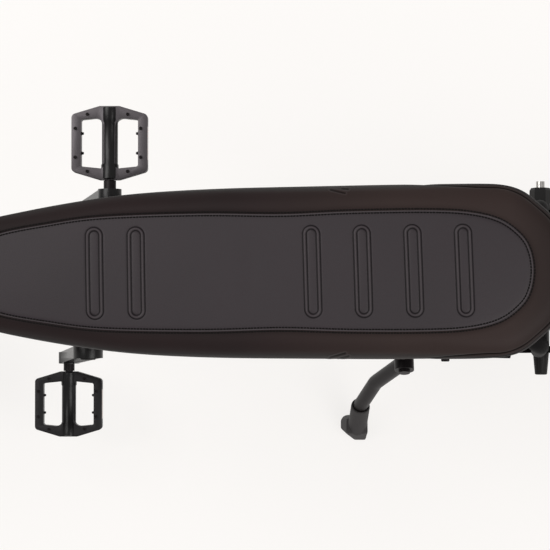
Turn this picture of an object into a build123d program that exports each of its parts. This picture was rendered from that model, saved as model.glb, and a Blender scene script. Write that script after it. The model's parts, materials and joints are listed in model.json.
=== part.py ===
"""Electric fat bike leaning on its side stand, in millimetres.

Built upright (X forward from the rear axle, Y left, Z up from the ground), then leaned and moved so that the
origin is the bottom centre of the whole bike's box.
"""
from build123d import *
import math
import os

# Stance
LEAN_DEG = 8.0
WHEELBASE = 1190.0
RUNNING_GAP = 0.3          # between round faces that turn or seat in one another

# Tyres and rims
TYRE_R = 290.0
TYRE_W = 100.0
TYRE_WALL = 6.0
TYRE_H = 87.0              # section height above the rim
RIM_W = 80.0
RIM_BED = 5.0
RIM_FLANGE_H = 7.0
RIM_FLANGE_T = 4.0
SPOKES = 36
SPOKE_R = 1.15

# Hubs and brakes
FRONT_OLD = 135.0
REAR_OLD = 182.0
FLANGE_T = 4.0
AXLE_R, REAR_AXLE_R = 6.0, 7.0
ROTOR_R = 90.0
ROTOR_T = 2.0
ROTOR_VENTS, VENT_R, VENT_STAGGER = 36, 2.4, 4.5
FRONT_ROTOR_Y = 57.0
REAR_ROTOR_Y = 66.0
PAD_SLOT = 12.0
MOTOR_R = 95.0

# Frame
BB_X, BB_Z = 640.0, TYRE_R + 20.0
BB_SHELL_R, BB_SHELL_W = 24.0, 104.0
HEAD_ANGLE = 68.0
FORK_OFFSET = 45.0
AXLE_TO_CROWN = TYRE_R + 135.0
HEAD_TUBE_L, HEAD_TUBE_R = 140.0, 24.0
CUP_R, CUP_H = 28.0, 9.0
TOP_TUBE_R, TOP_TUBE_CLEAR = 27.0, 110.0
TOP_TUBE_Z = 2 * TYRE_R + TOP_TUBE_CLEAR
TOP_TUBE_BEND_X, TOP_TUBE_END_X = 800.0, 96.0
DOWN_TUBE_R, DOWN_TUBE_RUN = 30.0, 158.0
SEAT_TUBE_R, SEAT_TUBE_TOP_X = 20.0, 470.0
CHAINSTAY_R, SEATSTAY_R, BRIDGE_R = 13.0, 11.0, 8.0
DROPOUT_T = 8.0
TUBE_BEND = 90.0

# Seat
SEAT_TAIL_X, SEAT_NOSE_X = 40.0, 762.0
SEAT_HALF_W = 101.0
SEAT_BASE_T, SEAT_H = 8.0, 93.0
SEAT_BASE_Z = TOP_TUBE_Z + TOP_TUBE_R + 2.0
SEAT_TOP_Z = SEAT_BASE_Z + SEAT_H
SEAT_DIP = 10.0
SEAT_NOSE_DROP = 20.0
SEAT_EDGE_R = 24.0
SEAT_MOUNT_XS = (150.0, 430.0, 690.0)

# Battery and controller
BATTERY_W, BATTERY_ROOM = 96.0, 11.0
BATTERY_TOP_Z = TOP_TUBE_Z - TOP_TUBE_R - BATTERY_ROOM
BATTERY_FOOT_Z = BB_Z + 122.0
STANDOFF = 5.0
CONTROLLER = (52.0, 88.0, 170.0)
CONTROLLER_AT = 185.0      # along the seat tube from the bottom bracket

# Fork and bars
LEG_X, LEG_Y, LEG_R = 30.0, 88.0, 20.5
STANCHION_R = 16.0
STEERER_R = 14.3
CROWN_H = 42.0
LOWERS_TOP = TYRE_R - 28.0
ARCH_R = 10.0
STEM_X, STEM_RISE = 50.0, 36.7
STEM_Z = AXLE_TO_CROWN + HEAD_TUBE_L + RUNNING_GAP + STEM_RISE
BAR_R = 11.1
BAR_HALF_W, BAR_RISE, BAR_SWEEP = 350.0, 250.0, 95.0
GRIP_R, GRIP_L = 16.5, 116.0

# Drive
CRANK_L, CRANK_DEG = 170.0, 74.5
CRANK_FACE_Y, CRANK_T = 119.0, 17.0
CRANK_SPLAY_DEG = 4.0      # arms stand further out at the pedal
CRANK_BOSS_R, CRANK_EYE_R = 21.0, 15.5
CRANK_STEP = 2.0           # bosses stand this far round the arm
SPINDLE_R = 10.0
CHAIN_PITCH, CHAIN_H, CHAIN_W = 12.7, 8.4, 6.4
RING_TEETH, JOCKEY_TEETH = 44, 11
COG_TEETH = (28, 24, 22, 20, 18, 16, 14)
COG_FIRST_Y, COG_STEP, COG_T = 60.0, 4.2, 1.8
CHAIN_ON_TEETH = 18        # the cog the chain runs on

# Pedals
PEDAL_LONG, PEDAL_WIDE, PEDAL_T = 100.0, 97.0, 16.0
PEDAL_MID_Y = 179.5
PEDAL_TUBE_R, PEDAL_SPINDLE_R = 8.6, 5.5
PEDAL_RAIL = 12.5

# Fenders
FENDER_GAP, FENDER_T, FENDER_HALF_DEG = 16.0, 3.0, 55.0

# Side stand
STAND_PIVOT = Vector(192.0, REAR_OLD / 2 + 23.0, TYRE_R - 28.0)
STAND_AXIS = Vector(0.0, 0.937, 0.35).normalized()
STAND_LEG_R, STAND_PIN_R = 11.0, 5.0
STAND_EYE_R, STAND_EYE_L = 14.0, 25.0
STAND_FOOT = Vector(250.0, 222.0, 0.0)
STAND_FOLD_DEG = 94.0

# Derived
REAR = Vector(0, 0, TYRE_R)
FRONT = Vector(WHEELBASE, 0, TYRE_R)
BB = Vector(BB_X, 0, BB_Z)
TYRE_MID_R = TYRE_R - TYRE_W / 2
RIM_R = TYRE_R - TYRE_H
SIDES = (1, -1)
COS_H, SIN_H = math.cos(math.radians(HEAD_ANGLE)), math.sin(math.radians(HEAD_ANGLE))
FORWARD_DIR = Vector(SIN_H, 0, COS_H)
STEER_DIR = Vector(-COS_H, 0, SIN_H)
FORK = Plane(origin=FRONT - FORWARD_DIR * FORK_OFFSET, x_dir=FORWARD_DIR, z_dir=STEER_DIR)
HEAD_LOW = AXLE_TO_CROWN + RUNNING_GAP
HEAD_TOP = HEAD_LOW + HEAD_TUBE_L
DROPOUT_Y = REAR_OLD / 2
LEAN = Rot(-LEAN_DEG, 0, 0)
TAN_LEAN = math.tan(math.radians(LEAN_DEG))
GROUND_LIFT = TYRE_W / 2 * (1 - math.cos(math.radians(LEAN_DEG)))
DOWN_MID = FORK.from_local_coords((-DOWN_TUBE_RUN, 0, HEAD_LOW + DOWN_TUBE_R + 4))
SEAT_TUBE_TOP = Vector(SEAT_TUBE_TOP_X, 0, TOP_TUBE_Z)
CHAIN_COG = COG_TEETH.index(CHAIN_ON_TEETH)
CHAIN_Y = -(COG_FIRST_Y + COG_STEP * CHAIN_COG)


def pitch_radius(teeth):
    return CHAIN_PITCH / (2 * math.sin(math.pi / teeth))


def polar(centre, radius, degrees):
    """A point in the bike's middle plane, counted from forward towards up."""
    a = math.radians(degrees)
    return centre + Vector(radius * math.cos(a), 0, radius * math.sin(a))


def at_y(point, y):
    return Vector(point.X, y, point.Z)


def rod(start, end, radius):
    start, end = Vector(start), Vector(end)
    return Plane(origin=start, z_dir=end - start) * Cylinder(
        radius, (end - start).length, align=(Align.CENTER, Align.CENTER, Align.MIN))


def bent_tube(points, radius, bend):
    path = FilletPolyline(*points, radius=bend)
    return sweep(Plane(origin=path @ 0, z_dir=path % 0) * Circle(radius), path=path)


def cross_disc(centre, radius, y_from, y_to):
    return rod(at_y(centre, y_from), at_y(centre, y_to), radius)


def slab(outline, y_from, y_to):
    """A flat piece: a face drawn in X and Z, given thickness across the bike."""
    return Pos(0, max(y_from, y_to), 0) * extrude(Plane.XZ * outline, amount=abs(y_to - y_from))


def outline(points, round_by=0.0):
    face = make_face(Polyline(*points, close=True))
    return fillet(face.vertices(), round_by) if round_by else face


def turned(points):
    """A body turned about the Y axis from (radius, y) points."""
    return revolve(make_face(Polyline(*points, close=True)), Axis.Y)


def stepped(steps, axle_r):
    """Stacked discs about the Y axis from (radius, y_from, y_to) rows, bored for the axle."""
    body = Part()
    for radius, y_from, y_to in steps:
        body += cross_disc(Vector(), radius, y_from, y_to)
    ends = [y for _, y_from, y_to in steps for y in (y_from, y_to)]
    return body - cross_disc(Vector(), axle_r + RUNNING_GAP, min(ends) - 1, max(ends) + 1)


# Wheels, about the Y axis through the origin

def tyre():
    casing = Circle(TYRE_W / 2) - Circle(TYRE_W / 2 - TYRE_WALL)
    casing = Pos(TYRE_MID_R, 0) * casing
    casing -= Pos((RIM_R + RUNNING_GAP) / 2, 0) * Rectangle(RIM_R + RUNNING_GAP, 2 * TYRE_W)
    flange_top = RIM_R + RIM_FLANGE_H + RUNNING_GAP
    half = RIM_W / 2 - RIM_FLANGE_T - RUNNING_GAP
    for side in SIDES:
        casing -= Pos(flange_top / 2, side * (half + TYRE_W / 2)) * Rectangle(flange_top, TYRE_W)
    return revolve(casing, Axis.Y)


def rim():
    half, bed = RIM_W / 2, RIM_R - RIM_BED
    lip, inner = RIM_R + RIM_FLANGE_H, RIM_W / 2 - RIM_FLANGE_T
    return turned([(bed, -half), (lip, -half), (lip, -inner), (RIM_R, -inner),
                   (RIM_R, inner), (lip, inner), (lip, half), (bed, half)])


def spokes(hole_r, flange_y, lead_deg):
    """Wire spokes, turn about on the outer and inner face of each flange."""
    wires = []
    rim_r = RIM_R - RIM_BED - RUNNING_GAP
    faces = {1: FLANGE_T / 2 + SPOKE_R + 8 * RUNNING_GAP, -1: -FLANGE_T / 2 - SPOKE_R - RUNNING_GAP}
    for k in range(SPOKES):
        side = SIDES[k % 2]
        lead = SIDES[(k // 2) % 2]
        rim_deg = 360.0 * k / SPOKES
        hub_end = at_y(polar(Vector(), hole_r, rim_deg + lead * lead_deg), side * (flange_y + faces[lead]))
        rim_end = at_y(polar(Vector(), rim_r, rim_deg), side * RIM_W / 8)
        wires.append(rod(hub_end, rim_end, SPOKE_R))
    return Compound(children=wires)


def rotor(y_face):
    """Brake disc: a braking ring on six arms, its hub face at y_face."""
    ring_w, arm_w, boss_r, bore_r = 20.0, 9.0, 30.0, 13.0
    face = Circle(ROTOR_R) - Circle(ROTOR_R - ring_w) + Circle(boss_r)
    for k in range(6):
        face += Rot(0, 0, 60 * k) * (Pos((ROTOR_R - ring_w / 2) / 2, 0) * Rectangle(ROTOR_R - ring_w / 2, arm_w))
    for k in range(ROTOR_VENTS):
        face -= Rot(0, 0, 360 * k / ROTOR_VENTS) * Pos(ROTOR_R - ring_w / 2 + VENT_STAGGER * SIDES[k % 2], 0) * Circle(VENT_R)
    return slab(face - Circle(bore_r), y_face, y_face + ROTOR_T)


FRONT_FLANGE_R, FRONT_FLANGE_Y = 32.0, 36.0
REAR_FLANGE_R, REAR_FLANGE_Y = 102.0, 36.0
SPOKE_HOLE_IN = 5.0


def front_hub():
    end = FRONT_OLD / 2 - RUNNING_GAP
    steps = [(19.0, -FRONT_FLANGE_Y, FRONT_FLANGE_Y), (11.0, -end, end), (24.0, FRONT_FLANGE_Y, FRONT_ROTOR_Y)]
    steps += [(FRONT_FLANGE_R, s * FRONT_FLANGE_Y - FLANGE_T / 2, s * FRONT_FLANGE_Y + FLANGE_T / 2) for s in SIDES]
    return stepped(steps, AXLE_R)


def hub_motor():
    end = DROPOUT_Y - RUNNING_GAP
    case_w = REAR_FLANGE_Y - 9.0
    steps = [(MOTOR_R, -case_w, case_w), (62.0, -46.0, 46.0), (29.0, 40.0, REAR_ROTOR_Y), (12.0, -end, end),
             (MOTOR_R - 12.0, -REAR_FLANGE_Y - FLANGE_T / 2, REAR_FLANGE_Y + FLANGE_T / 2)]
    steps += [(REAR_FLANGE_R, s * REAR_FLANGE_Y - FLANGE_T / 2, s * REAR_FLANGE_Y + FLANGE_T / 2) for s in SIDES]
    return stepped(steps, REAR_AXLE_R)


TOOTH_H = 3.0              # above and below the pitch circle


def toothed(teeth):
    """A cog from the side: one blunt tooth to each chain pitch."""
    step, points = 360.0 / teeth, []
    for k in range(teeth):
        for share, rise in ((0.0, -TOOTH_H), (0.3, -TOOTH_H), (0.55, TOOTH_H), (0.75, TOOTH_H)):
            at = polar(Vector(), pitch_radius(teeth) + rise, step * (k + share))
            points.append((at.X, at.Z))
    return outline(points)


def freewheel():
    """The stack of cogs; the one the chain runs on is cut down to the chain's inner face."""
    body = cross_disc(Vector(), 24.0, -46.0, -(COG_FIRST_Y + COG_STEP * (len(COG_TEETH) - 1) + COG_T / 2))
    for k, teeth in enumerate(COG_TEETH):
        y = -(COG_FIRST_Y + COG_STEP * k)
        if k == CHAIN_COG:
            body += cross_disc(Vector(), pitch_radius(teeth) - CHAIN_H / 2 - RUNNING_GAP, y - COG_T / 2, y + COG_T / 2)
        else:
            body += slab(toothed(teeth), y - COG_T / 2, y + COG_T / 2)
    return body - cross_disc(Vector(), 12.0 + RUNNING_GAP, -DROPOUT_Y, 0)


# Frame

def chainstay_points(side):
    return [(BB_X - 12, side * 40, BB_Z - 2), (TYRE_R + 150, side * (TYRE_W / 2 + 14), BB_Z - 8),
            (TYRE_R - 100, side * (DROPOUT_Y + 1), TYRE_R + 4), (44, side * (DROPOUT_Y + DROPOUT_T / 2), TYRE_R + 2)]


def seatstay_points(side):
    return [(10, side * (DROPOUT_Y + DROPOUT_T / 2), TYRE_R + 44), (52, side * (DROPOUT_Y - 7), TOP_TUBE_Z - 55),
            (165, side * 16, TOP_TUBE_Z)]


def dropout():
    """Plate at the rear end of the stays, with an ear for the brake caliper."""
    corners = ((-30, -32), (38, -30), (66, 14), (86, 56), (60, 76), (20, 66), (-14, 62), (-34, 14))
    face = outline([(x, TYRE_R + z) for x, z in corners], 7.0)
    return face - Pos(0, TYRE_R) * Circle(REAR_AXLE_R + 0.02)


def seat_mounts():
    """Pads from the top tube up to the seat base."""
    pads = Part()
    for x in SEAT_MOUNT_XS:
        pads += Pos(x, 0, TOP_TUBE_Z) * Box(46, 40, SEAT_BASE_Z - TOP_TUBE_Z, align=(Align.CENTER, Align.CENTER, Align.MIN))
    return pads


def bosses(start, end, radius, tube_r, distances):
    """Short studs square to a tube, to the upper or rear side, up to the standoff face."""
    along = (end - start).normalized()
    square = Vector(-along.Z, 0, along.X)
    body = Part()
    for d in distances:
        foot = start + along * d
        body += rod(foot, foot + square * (tube_r + STANDOFF), radius)
    return body


def frame():
    top_start = FORK.from_local_coords((0, 0, HEAD_TOP - 42))
    down_start = FORK.from_local_coords((0, 0, HEAD_LOW + DOWN_TUBE_R + 4))
    body = rod(FORK.from_local_coords((0, 0, HEAD_LOW)), FORK.from_local_coords((0, 0, HEAD_TOP)), HEAD_TUBE_R)
    for z in (HEAD_LOW, HEAD_TOP - CUP_H):
        body += rod(FORK.from_local_coords((0, 0, z)), FORK.from_local_coords((0, 0, z + CUP_H)), CUP_R)
    body += bent_tube([top_start, (TOP_TUBE_BEND_X, 0, TOP_TUBE_Z), (TOP_TUBE_END_X, 0, TOP_TUBE_Z)], TOP_TUBE_R, TUBE_BEND)
    body += bent_tube([down_start, DOWN_MID, BB], DOWN_TUBE_R, TUBE_BEND)
    body += rod(BB, SEAT_TUBE_TOP, SEAT_TUBE_R)
    body += cross_disc(BB, BB_SHELL_R, -BB_SHELL_W / 2, BB_SHELL_W / 2)
    for side in SIDES:
        body += bent_tube(chainstay_points(side), CHAINSTAY_R, TUBE_BEND)
        body += bent_tube(seatstay_points(side), SEATSTAY_R, TUBE_BEND / 2)
        body += slab(dropout(), side * DROPOUT_Y, side * (DROPOUT_Y + DROPOUT_T))
    bridge_r = TYRE_MID_R + TYRE_W / 2 + FENDER_GAP + FENDER_T + BRIDGE_R + RUNNING_GAP
    for degrees, half in ((80.5, 85.0), (1.5, 78.0)):
        at = polar(REAR, bridge_r, degrees)
        body += cross_disc(at, BRIDGE_R, -half, half)
    body += seat_mounts()
    body += bosses(BB, DOWN_MID, 11.0, DOWN_TUBE_R, [(DOWN_MID - BB).length * share for share in (0.45, 0.78)])
    body += bosses(BB, SEAT_TUBE_TOP, 10.0, SEAT_TUBE_R, (CONTROLLER_AT - 50, CONTROLLER_AT + 50))
    body += slab(outline([(58, TOP_TUBE_Z - 22), (130, TOP_TUBE_Z - 22), (130, TOP_TUBE_Z + 18), (58, TOP_TUBE_Z + 18)]), -4, 4)
    body += slab(outline([(52, TOP_TUBE_Z - 22), (58, TOP_TUBE_Z - 22), (58, TOP_TUBE_Z + 18), (52, TOP_TUBE_Z + 18)]), -30, 30)
    body -= rod(FORK.from_local_coords((0, 0, HEAD_LOW - 1)), FORK.from_local_coords((0, 0, HEAD_TOP + 1)), STEERER_R + RUNNING_GAP)
    return body - cross_disc(BB, SPINDLE_R + RUNNING_GAP, -BB_SHELL_W, BB_SHELL_W)


# Seat

SEAT_SIDES = (            # distance ahead of the tail, half width, corner radius
    (712.0, 33.0, 36.0), (655.0, 66.0, 60.0), (510.0, 91.0, 400.0), (390.0, 98.0, 500.0),
    (250.0, SEAT_HALF_W, 600.0), (62.0, SEAT_HALF_W, 70.0), (0.0, 48.0, 80.0))
SEAT_CREST = (            # distance ahead of the tail, height below the crown, corner radius
    (130.0, 0.0, 500.0), (370.0, SEAT_DIP, 700.0))


def rounded_loop(rows):
    """A closed outline from (x, y, corner radius) rows; radius 0 leaves the corner sharp."""
    face = make_face(Polyline(*[(x, y) for x, y, _ in rows], close=True))
    for x, y, radius in rows:
        if radius:
            corner = face.vertices().sort_by_distance((x, y, 0))[0]
            face = fillet(corner, radius)
    return face


def seat_plan(inset=0.0):
    """Seat outline from above: round tail, full sides, sides drawn in to a round nose."""
    stretch = (SEAT_NOSE_X - SEAT_TAIL_X) / SEAT_SIDES[0][0]
    left = [(SEAT_TAIL_X + ahead * stretch, half, radius) for ahead, half, radius in SEAT_SIDES]
    face = rounded_loop(left + [(x, -half, radius) for x, half, radius in reversed(left)])
    return offset(face, -inset) if inset else face


def seat_profile():
    """Side view: level rear, a gentle dip, nose falling away."""
    low, tail, nose = SEAT_BASE_Z + SEAT_BASE_T, SEAT_TAIL_X - 5, SEAT_NOSE_X + 5
    crest = [(SEAT_TAIL_X + ahead, SEAT_TOP_Z - drop, radius) for ahead, drop, radius in SEAT_CREST]
    return rounded_loop([(tail, low, 0), (tail, SEAT_TOP_Z - SEAT_DIP / 2, 0), *crest,
                         (nose, SEAT_TOP_Z - SEAT_NOSE_DROP, 0), (nose, low, 0)])


def seat_cushion():
    low = SEAT_BASE_Z + SEAT_BASE_T
    block = Pos(0, 0, low) * extrude(seat_plan(), amount=SEAT_TOP_Z - low + 20)
    body = block & slab(seat_profile(), -2 * SEAT_HALF_W, 2 * SEAT_HALF_W)
    sides = [f for f in body.faces() if abs(f.normal_at().Z) < 0.3]
    rim_edges = [e for f in body.faces() if f.normal_at().Z > 0.7 for e in f.edges()
                 if any(e.is_same(g) for side in sides for g in side.edges())]
    return fillet(rim_edges, SEAT_EDGE_R)


def seat_base():
    return Pos(0, 0, SEAT_BASE_Z) * extrude(seat_plan(5.0), amount=SEAT_BASE_T)


# Battery and controller

def battery_outline():
    along = (DOWN_MID - BB).normalized()
    off = Vector(-along.Z, 0, along.X) * (DOWN_TUBE_R + STANDOFF)
    low = BB + off + along * ((BATTERY_FOOT_Z - BB_Z - off.Z) / along.Z)
    high = BB + off + along * ((BATTERY_TOP_Z - 38 - BB_Z - off.Z) / along.Z)
    up = (SEAT_TUBE_TOP - BB).normalized()
    clear = Vector(up.Z, 0, -up.X) * (SEAT_TUBE_R + 2 * STANDOFF)
    rear_low = BB + clear + up * ((BATTERY_FOOT_Z - BB_Z - clear.Z) / up.Z)
    rear_high = BB + clear + up * ((BATTERY_TOP_Z - BB_Z - clear.Z) / up.Z)
    return [(low.X, low.Z), (high.X, high.Z), (high.X + 6, BATTERY_TOP_Z),
            (rear_high.X, BATTERY_TOP_Z), (rear_low.X, rear_low.Z)]


def battery():
    return slab(outline(battery_outline(), 7.0), -BATTERY_W / 2, BATTERY_W / 2)


def controller():
    up = (SEAT_TUBE_TOP - BB).normalized()
    back = Vector(-up.Z, 0, up.X)
    centre = BB + up * CONTROLLER_AT + back * (SEAT_TUBE_R + STANDOFF + CONTROLLER[0] / 2)
    box = Box(*CONTROLLER)
    box = fillet(box.edges().filter_by(Axis.Y), 6.0)
    return Plane(origin=centre, x_dir=back, z_dir=up) * box


# Fenders, lamps and brakes

def fender(from_deg, to_deg):
    """A strip of a ring with the tyre's own round section, about the Y axis."""
    inner = TYRE_W / 2 + FENDER_GAP
    outer = inner + FENDER_T
    section = Pos(TYRE_MID_R, 0) * (Circle(outer) - Circle(inner))
    cut = TYRE_MID_R + inner * math.cos(math.radians(FENDER_HALF_DEG))
    section -= Pos(cut / 2, 0) * Rectangle(cut, 3 * outer)
    return Rot(0, -to_deg, 0) * revolve(section, Axis.Y, revolution_arc=to_deg - from_deg)


def fender_edge(degrees, side):
    inner = TYRE_W / 2 + FENDER_GAP + FENDER_T / 2
    a = math.radians(FENDER_HALF_DEG - 4)
    return at_y(polar(Vector(), TYRE_MID_R + inner * math.cos(a), degrees), side * inner * math.sin(a))


STAY_R, STAY_EYE_R = 3.0, 7.0


def fender_stay(degrees, side, foot):
    """A wire stay with a round eye on the fender's edge."""
    at = fender_edge(degrees, side)
    return rod(at, foot, STAY_R) + cross_disc(at, STAY_EYE_R, at.Y - side * 6, at.Y + side * 4)


def rear_fender():
    eye = Vector(-22, 0, 34)
    body = fender(-3.0, 196.0)
    for side in SIDES:
        foot = at_y(eye, side * (DROPOUT_Y - 5))
        body += fender_stay(152, side, foot)
        body += cross_disc(eye, 7.0, side * (DROPOUT_Y - 8), side * DROPOUT_Y)
    return Pos(*REAR) * body


def front_fender():
    leg = FORK.from_local_coords((LEG_X, 0, 110)) - FRONT
    body = fender(52.0, 176.0)
    for side in SIDES:
        end = at_y(leg, side * (LEG_Y - LEG_R - STAY_R - RUNNING_GAP))
        body += fender_stay(140, side, end)
    return Pos(*FRONT) * body


def caliper(disc_y, reach_y):
    """A brake caliper straddling the disc, about the origin at the disc's edge."""
    inner_y = disc_y - PAD_SLOT
    body = Pos(0, (inner_y + reach_y) / 2, 0) * Box(36, reach_y - inner_y, 48)
    body = fillet(body.edges().filter_by(Axis.Y), 8.0)
    return body - Pos(0, disc_y + ROTOR_T / 2, -10) * Box(60, PAD_SLOT, 60)


FRONT_CALIPER_DEG, REAR_CALIPER_DEG, CALIPER_AT = 168.0, 40.0, ROTOR_R - 9
FRONT_CALIPER_Y = LEG_Y - 10


def placed_caliper(hub, degrees, disc_y, reach_y):
    at = polar(hub, CALIPER_AT, degrees)
    return Pos(at.X, 0, at.Z) * Rot(0, 90 - degrees, 0) * caliper(disc_y, reach_y)


def rear_caliper():
    return placed_caliper(REAR, REAR_CALIPER_DEG, REAR_ROTOR_Y, DROPOUT_Y)


def front_caliper():
    return placed_caliper(FRONT, FRONT_CALIPER_DEG, FRONT_ROTOR_Y, FRONT_CALIPER_Y)


def tail_light():
    body = Pos(38, 0, TOP_TUBE_Z - 2) * Box(28, 104, 40)
    return fillet(body.edges().filter_by(Axis.X), 12.0)


LAMP_R, LAMP_L = 50.0, 58.0
LAMP_X, LAMP_Z = 74.0, AXLE_TO_CROWN + 61.0
LENS_R, LENS_T = 44.0, 6.0


def lamp_centre():
    return FORK.from_local_coords((LAMP_X, 0, LAMP_Z))


def headlight():
    """Round lamp shell on a bent strap that stands on the fork crown."""
    centre, face = lamp_centre(), lamp_centre() + Vector(LAMP_L, 0, 0)
    shell = rod(centre, face, LAMP_R) + rod(centre - Vector(20, 0, 0), centre, LAMP_R * 0.62)
    shell -= rod(face - Vector(LENS_T, 0, 0), face, LENS_R)
    post = Pos(56, 0, (AXLE_TO_CROWN + LAMP_Z) / 2) * Box(5, 34, LAMP_Z - AXLE_TO_CROWN)
    foot = Pos(48, 0, AXLE_TO_CROWN + 2.5) * Box(21, 34, 5)
    return shell + FORK.location * (post + foot)


def headlight_lens():
    face = lamp_centre() + Vector(LAMP_L, 0, 0)
    return rod(face - Vector(LENS_T, 0, 0), face - Vector(1, 0, 0), LENS_R - RUNNING_GAP)


# Fork and bars, in the fork's own frame until placed

def fork_crown():
    plan = Circle(30) + Pos(LEG_X, 0) * Rectangle(2 * STANCHION_R + 12, 2 * LEG_Y)
    for side in SIDES:
        plan += Pos(LEG_X, side * LEG_Y) * Circle(STANCHION_R + 8)
    body = Pos(0, 0, AXLE_TO_CROWN - CROWN_H) * extrude(plan, amount=CROWN_H)
    body += Pos(0, 0, AXLE_TO_CROWN) * Cylinder(STEERER_R, STEM_Z + 22 - AXLE_TO_CROWN, align=(Align.CENTER, Align.CENTER, Align.MIN))
    for side in SIDES:
        body += rod((LEG_X, side * LEG_Y, LOWERS_TOP - 40), (LEG_X, side * LEG_Y, AXLE_TO_CROWN + 6), STANCHION_R)
    return FORK.location * body


def fork_lowers():
    arch_x = LEG_X + LEG_R + ARCH_R - 3.5
    arch_z = math.sqrt((TYRE_R + FENDER_GAP + FENDER_T + RUNNING_GAP + ARCH_R) ** 2 - (FORK_OFFSET - arch_x) ** 2)
    tip_y = FRONT_OLD / 2
    body = Part()
    for side in SIDES:
        body += rod((LEG_X, side * LEG_Y, 12), (LEG_X, side * LEG_Y, LOWERS_TOP), LEG_R)
        tab = Pos((LEG_X + FORK_OFFSET) / 2, side * (tip_y + 10), 4) * Box(62, 20, 54)
        body += fillet(tab.edges().filter_by(Axis.Y), 12.0)
    body += bent_tube([(arch_x, -LEG_Y, LOWERS_TOP - 44), (arch_x, -LEG_Y, arch_z), (arch_x, LEG_Y, arch_z),
                       (arch_x, LEG_Y, LOWERS_TOP - 44)], ARCH_R, 40.0)
    for side in SIDES:
        body -= rod((LEG_X, side * LEG_Y, LOWERS_TOP - 42), (LEG_X, side * LEG_Y, LOWERS_TOP + 30), STANCHION_R + RUNNING_GAP)
    body -= rod((FORK_OFFSET, -200, 0), (FORK_OFFSET, 200, 0), AXLE_R + 0.02)
    leg = FORK.from_local_coords((LEG_X, 0, 46))
    ear = hull_plate(polar(FRONT, CALIPER_AT, FRONT_CALIPER_DEG), leg, 15.0, 16.0)
    return FORK.location * body + slab(ear, FRONT_CALIPER_Y, FRONT_CALIPER_Y + 9)


def front_axle():
    end = FRONT_OLD / 2 + 20
    body = cross_disc(FRONT, AXLE_R, -end - 4, end + 4)
    for side in SIDES:
        body += cross_disc(FRONT, 12.0, side * end, side * (end + 8))
    return body


def stem():
    collar = Pos(0, 0, STEM_Z) * Cylinder(STEERER_R + 6, 44)
    spacer = Pos(0, 0, HEAD_TOP + RUNNING_GAP) * Cylinder(
        STEERER_R + 4, STEM_Z - 22 - HEAD_TOP - RUNNING_GAP, align=(Align.CENTER, Align.CENTER, Align.MIN))
    neck = Pos(STEM_X / 2, 0, STEM_Z) * Box(STEM_X, 34, 30)
    clamp = rod((STEM_X, -27, STEM_Z), (STEM_X, 27, STEM_Z), BAR_R + 8)
    body = collar + spacer + neck + clamp
    body -= rod((0, 0, HEAD_TOP - 10), (0, 0, STEM_Z + 60), STEERER_R + 0.02)
    body -= rod((STEM_X, -60, STEM_Z), (STEM_X, 60, STEM_Z), BAR_R + 0.02)
    return FORK.location * body


def bar_points(side):
    """Half of the riser bar, from the clamp out to the grip's end."""
    top = STEM_Z + BAR_RISE
    return [Vector(STEM_X, side * 72, STEM_Z), Vector(STEM_X - 22, side * (BAR_HALF_W - 208), top - 24),
            Vector(STEM_X - 34, side * (BAR_HALF_W - 150), top), Vector(STEM_X - BAR_SWEEP, side * BAR_HALF_W, top)]


def handlebar():
    points = list(reversed(bar_points(1))) + bar_points(-1)
    return FORK.location * bent_tube(points, BAR_R, 30.0)


def along_grip(side, distance):
    """A point on the bar's outer straight, counted back from its end."""
    _, _, inner, end = bar_points(side)
    return end + (inner - end).normalized() * distance


def grip(side):
    body = rod(along_grip(side, -2.0), along_grip(side, GRIP_L), GRIP_R)
    return FORK.location * (body - rod(along_grip(side, 0.0), along_grip(side, GRIP_L + 1), BAR_R + 0.02))


LEVER_AT, LEVER_REACH, LEVER_DROP = 134.0, 46.0, 14.0


def lever(side):
    """Brake lever: a clamp on the bar, a body ahead of it and a blade along the grip."""
    ring = rod(along_grip(side, LEVER_AT - 8), along_grip(side, LEVER_AT + 8), BAR_R + 6)
    base, tip = along_grip(side, LEVER_AT), along_grip(side, 22.0)
    ahead = Vector(LEVER_REACH, 0, -LEVER_DROP)
    body = ring + rod(base, base + ahead, 8.5)
    body += bent_tube([base + ahead * 0.6, base + ahead, tip + ahead], 5.5, 6.0)
    body += rod(base + ahead * 0.8, along_grip(side, LEVER_AT + 34) + ahead * 0.8, 10.0)
    return FORK.location * (body - rod(along_grip(side, 0), along_grip(side, LEVER_AT + 30), BAR_R + 0.02))


def display():
    body = Pos(STEM_X + 12, 0, STEM_Z + BAR_R + 24) * Rot(0, -28, 0) * Box(52, 78, 14)
    body += Pos(STEM_X + 6, 0, STEM_Z + BAR_R + 14) * Box(16, 24, 16)
    body -= rod((STEM_X, -80, STEM_Z), (STEM_X, 80, STEM_Z), BAR_R + 8 + RUNNING_GAP)
    return FORK.location * body


# Drive

def chain_loop():
    """The chain's round stations in order: centre, pitch radius, turning sense."""
    guide = REAR + Vector(14, 0, -66)
    tension = REAR + Vector(34, 0, -128)
    return [(BB, pitch_radius(RING_TEETH), 1), (REAR, pitch_radius(COG_TEETH[CHAIN_COG]), 1),
            (guide, pitch_radius(JOCKEY_TEETH), -1), (tension, pitch_radius(JOCKEY_TEETH), 1)]


def tangent_run(a, b):
    """Start and end of the straight chain run from station a to station b."""
    (ca, ra, sa), (cb, rb, sb) = a, b
    d = cb - ca
    k = sb * rb - sa * ra
    span = math.sqrt(d.X ** 2 + d.Z ** 2 - k ** 2)
    angle = math.atan2(d.Z, d.X) - math.atan2(k, span)
    left = Vector(-math.sin(angle), 0, math.cos(angle))
    return ca - left * (sa * ra), cb - left * (sb * rb)


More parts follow.
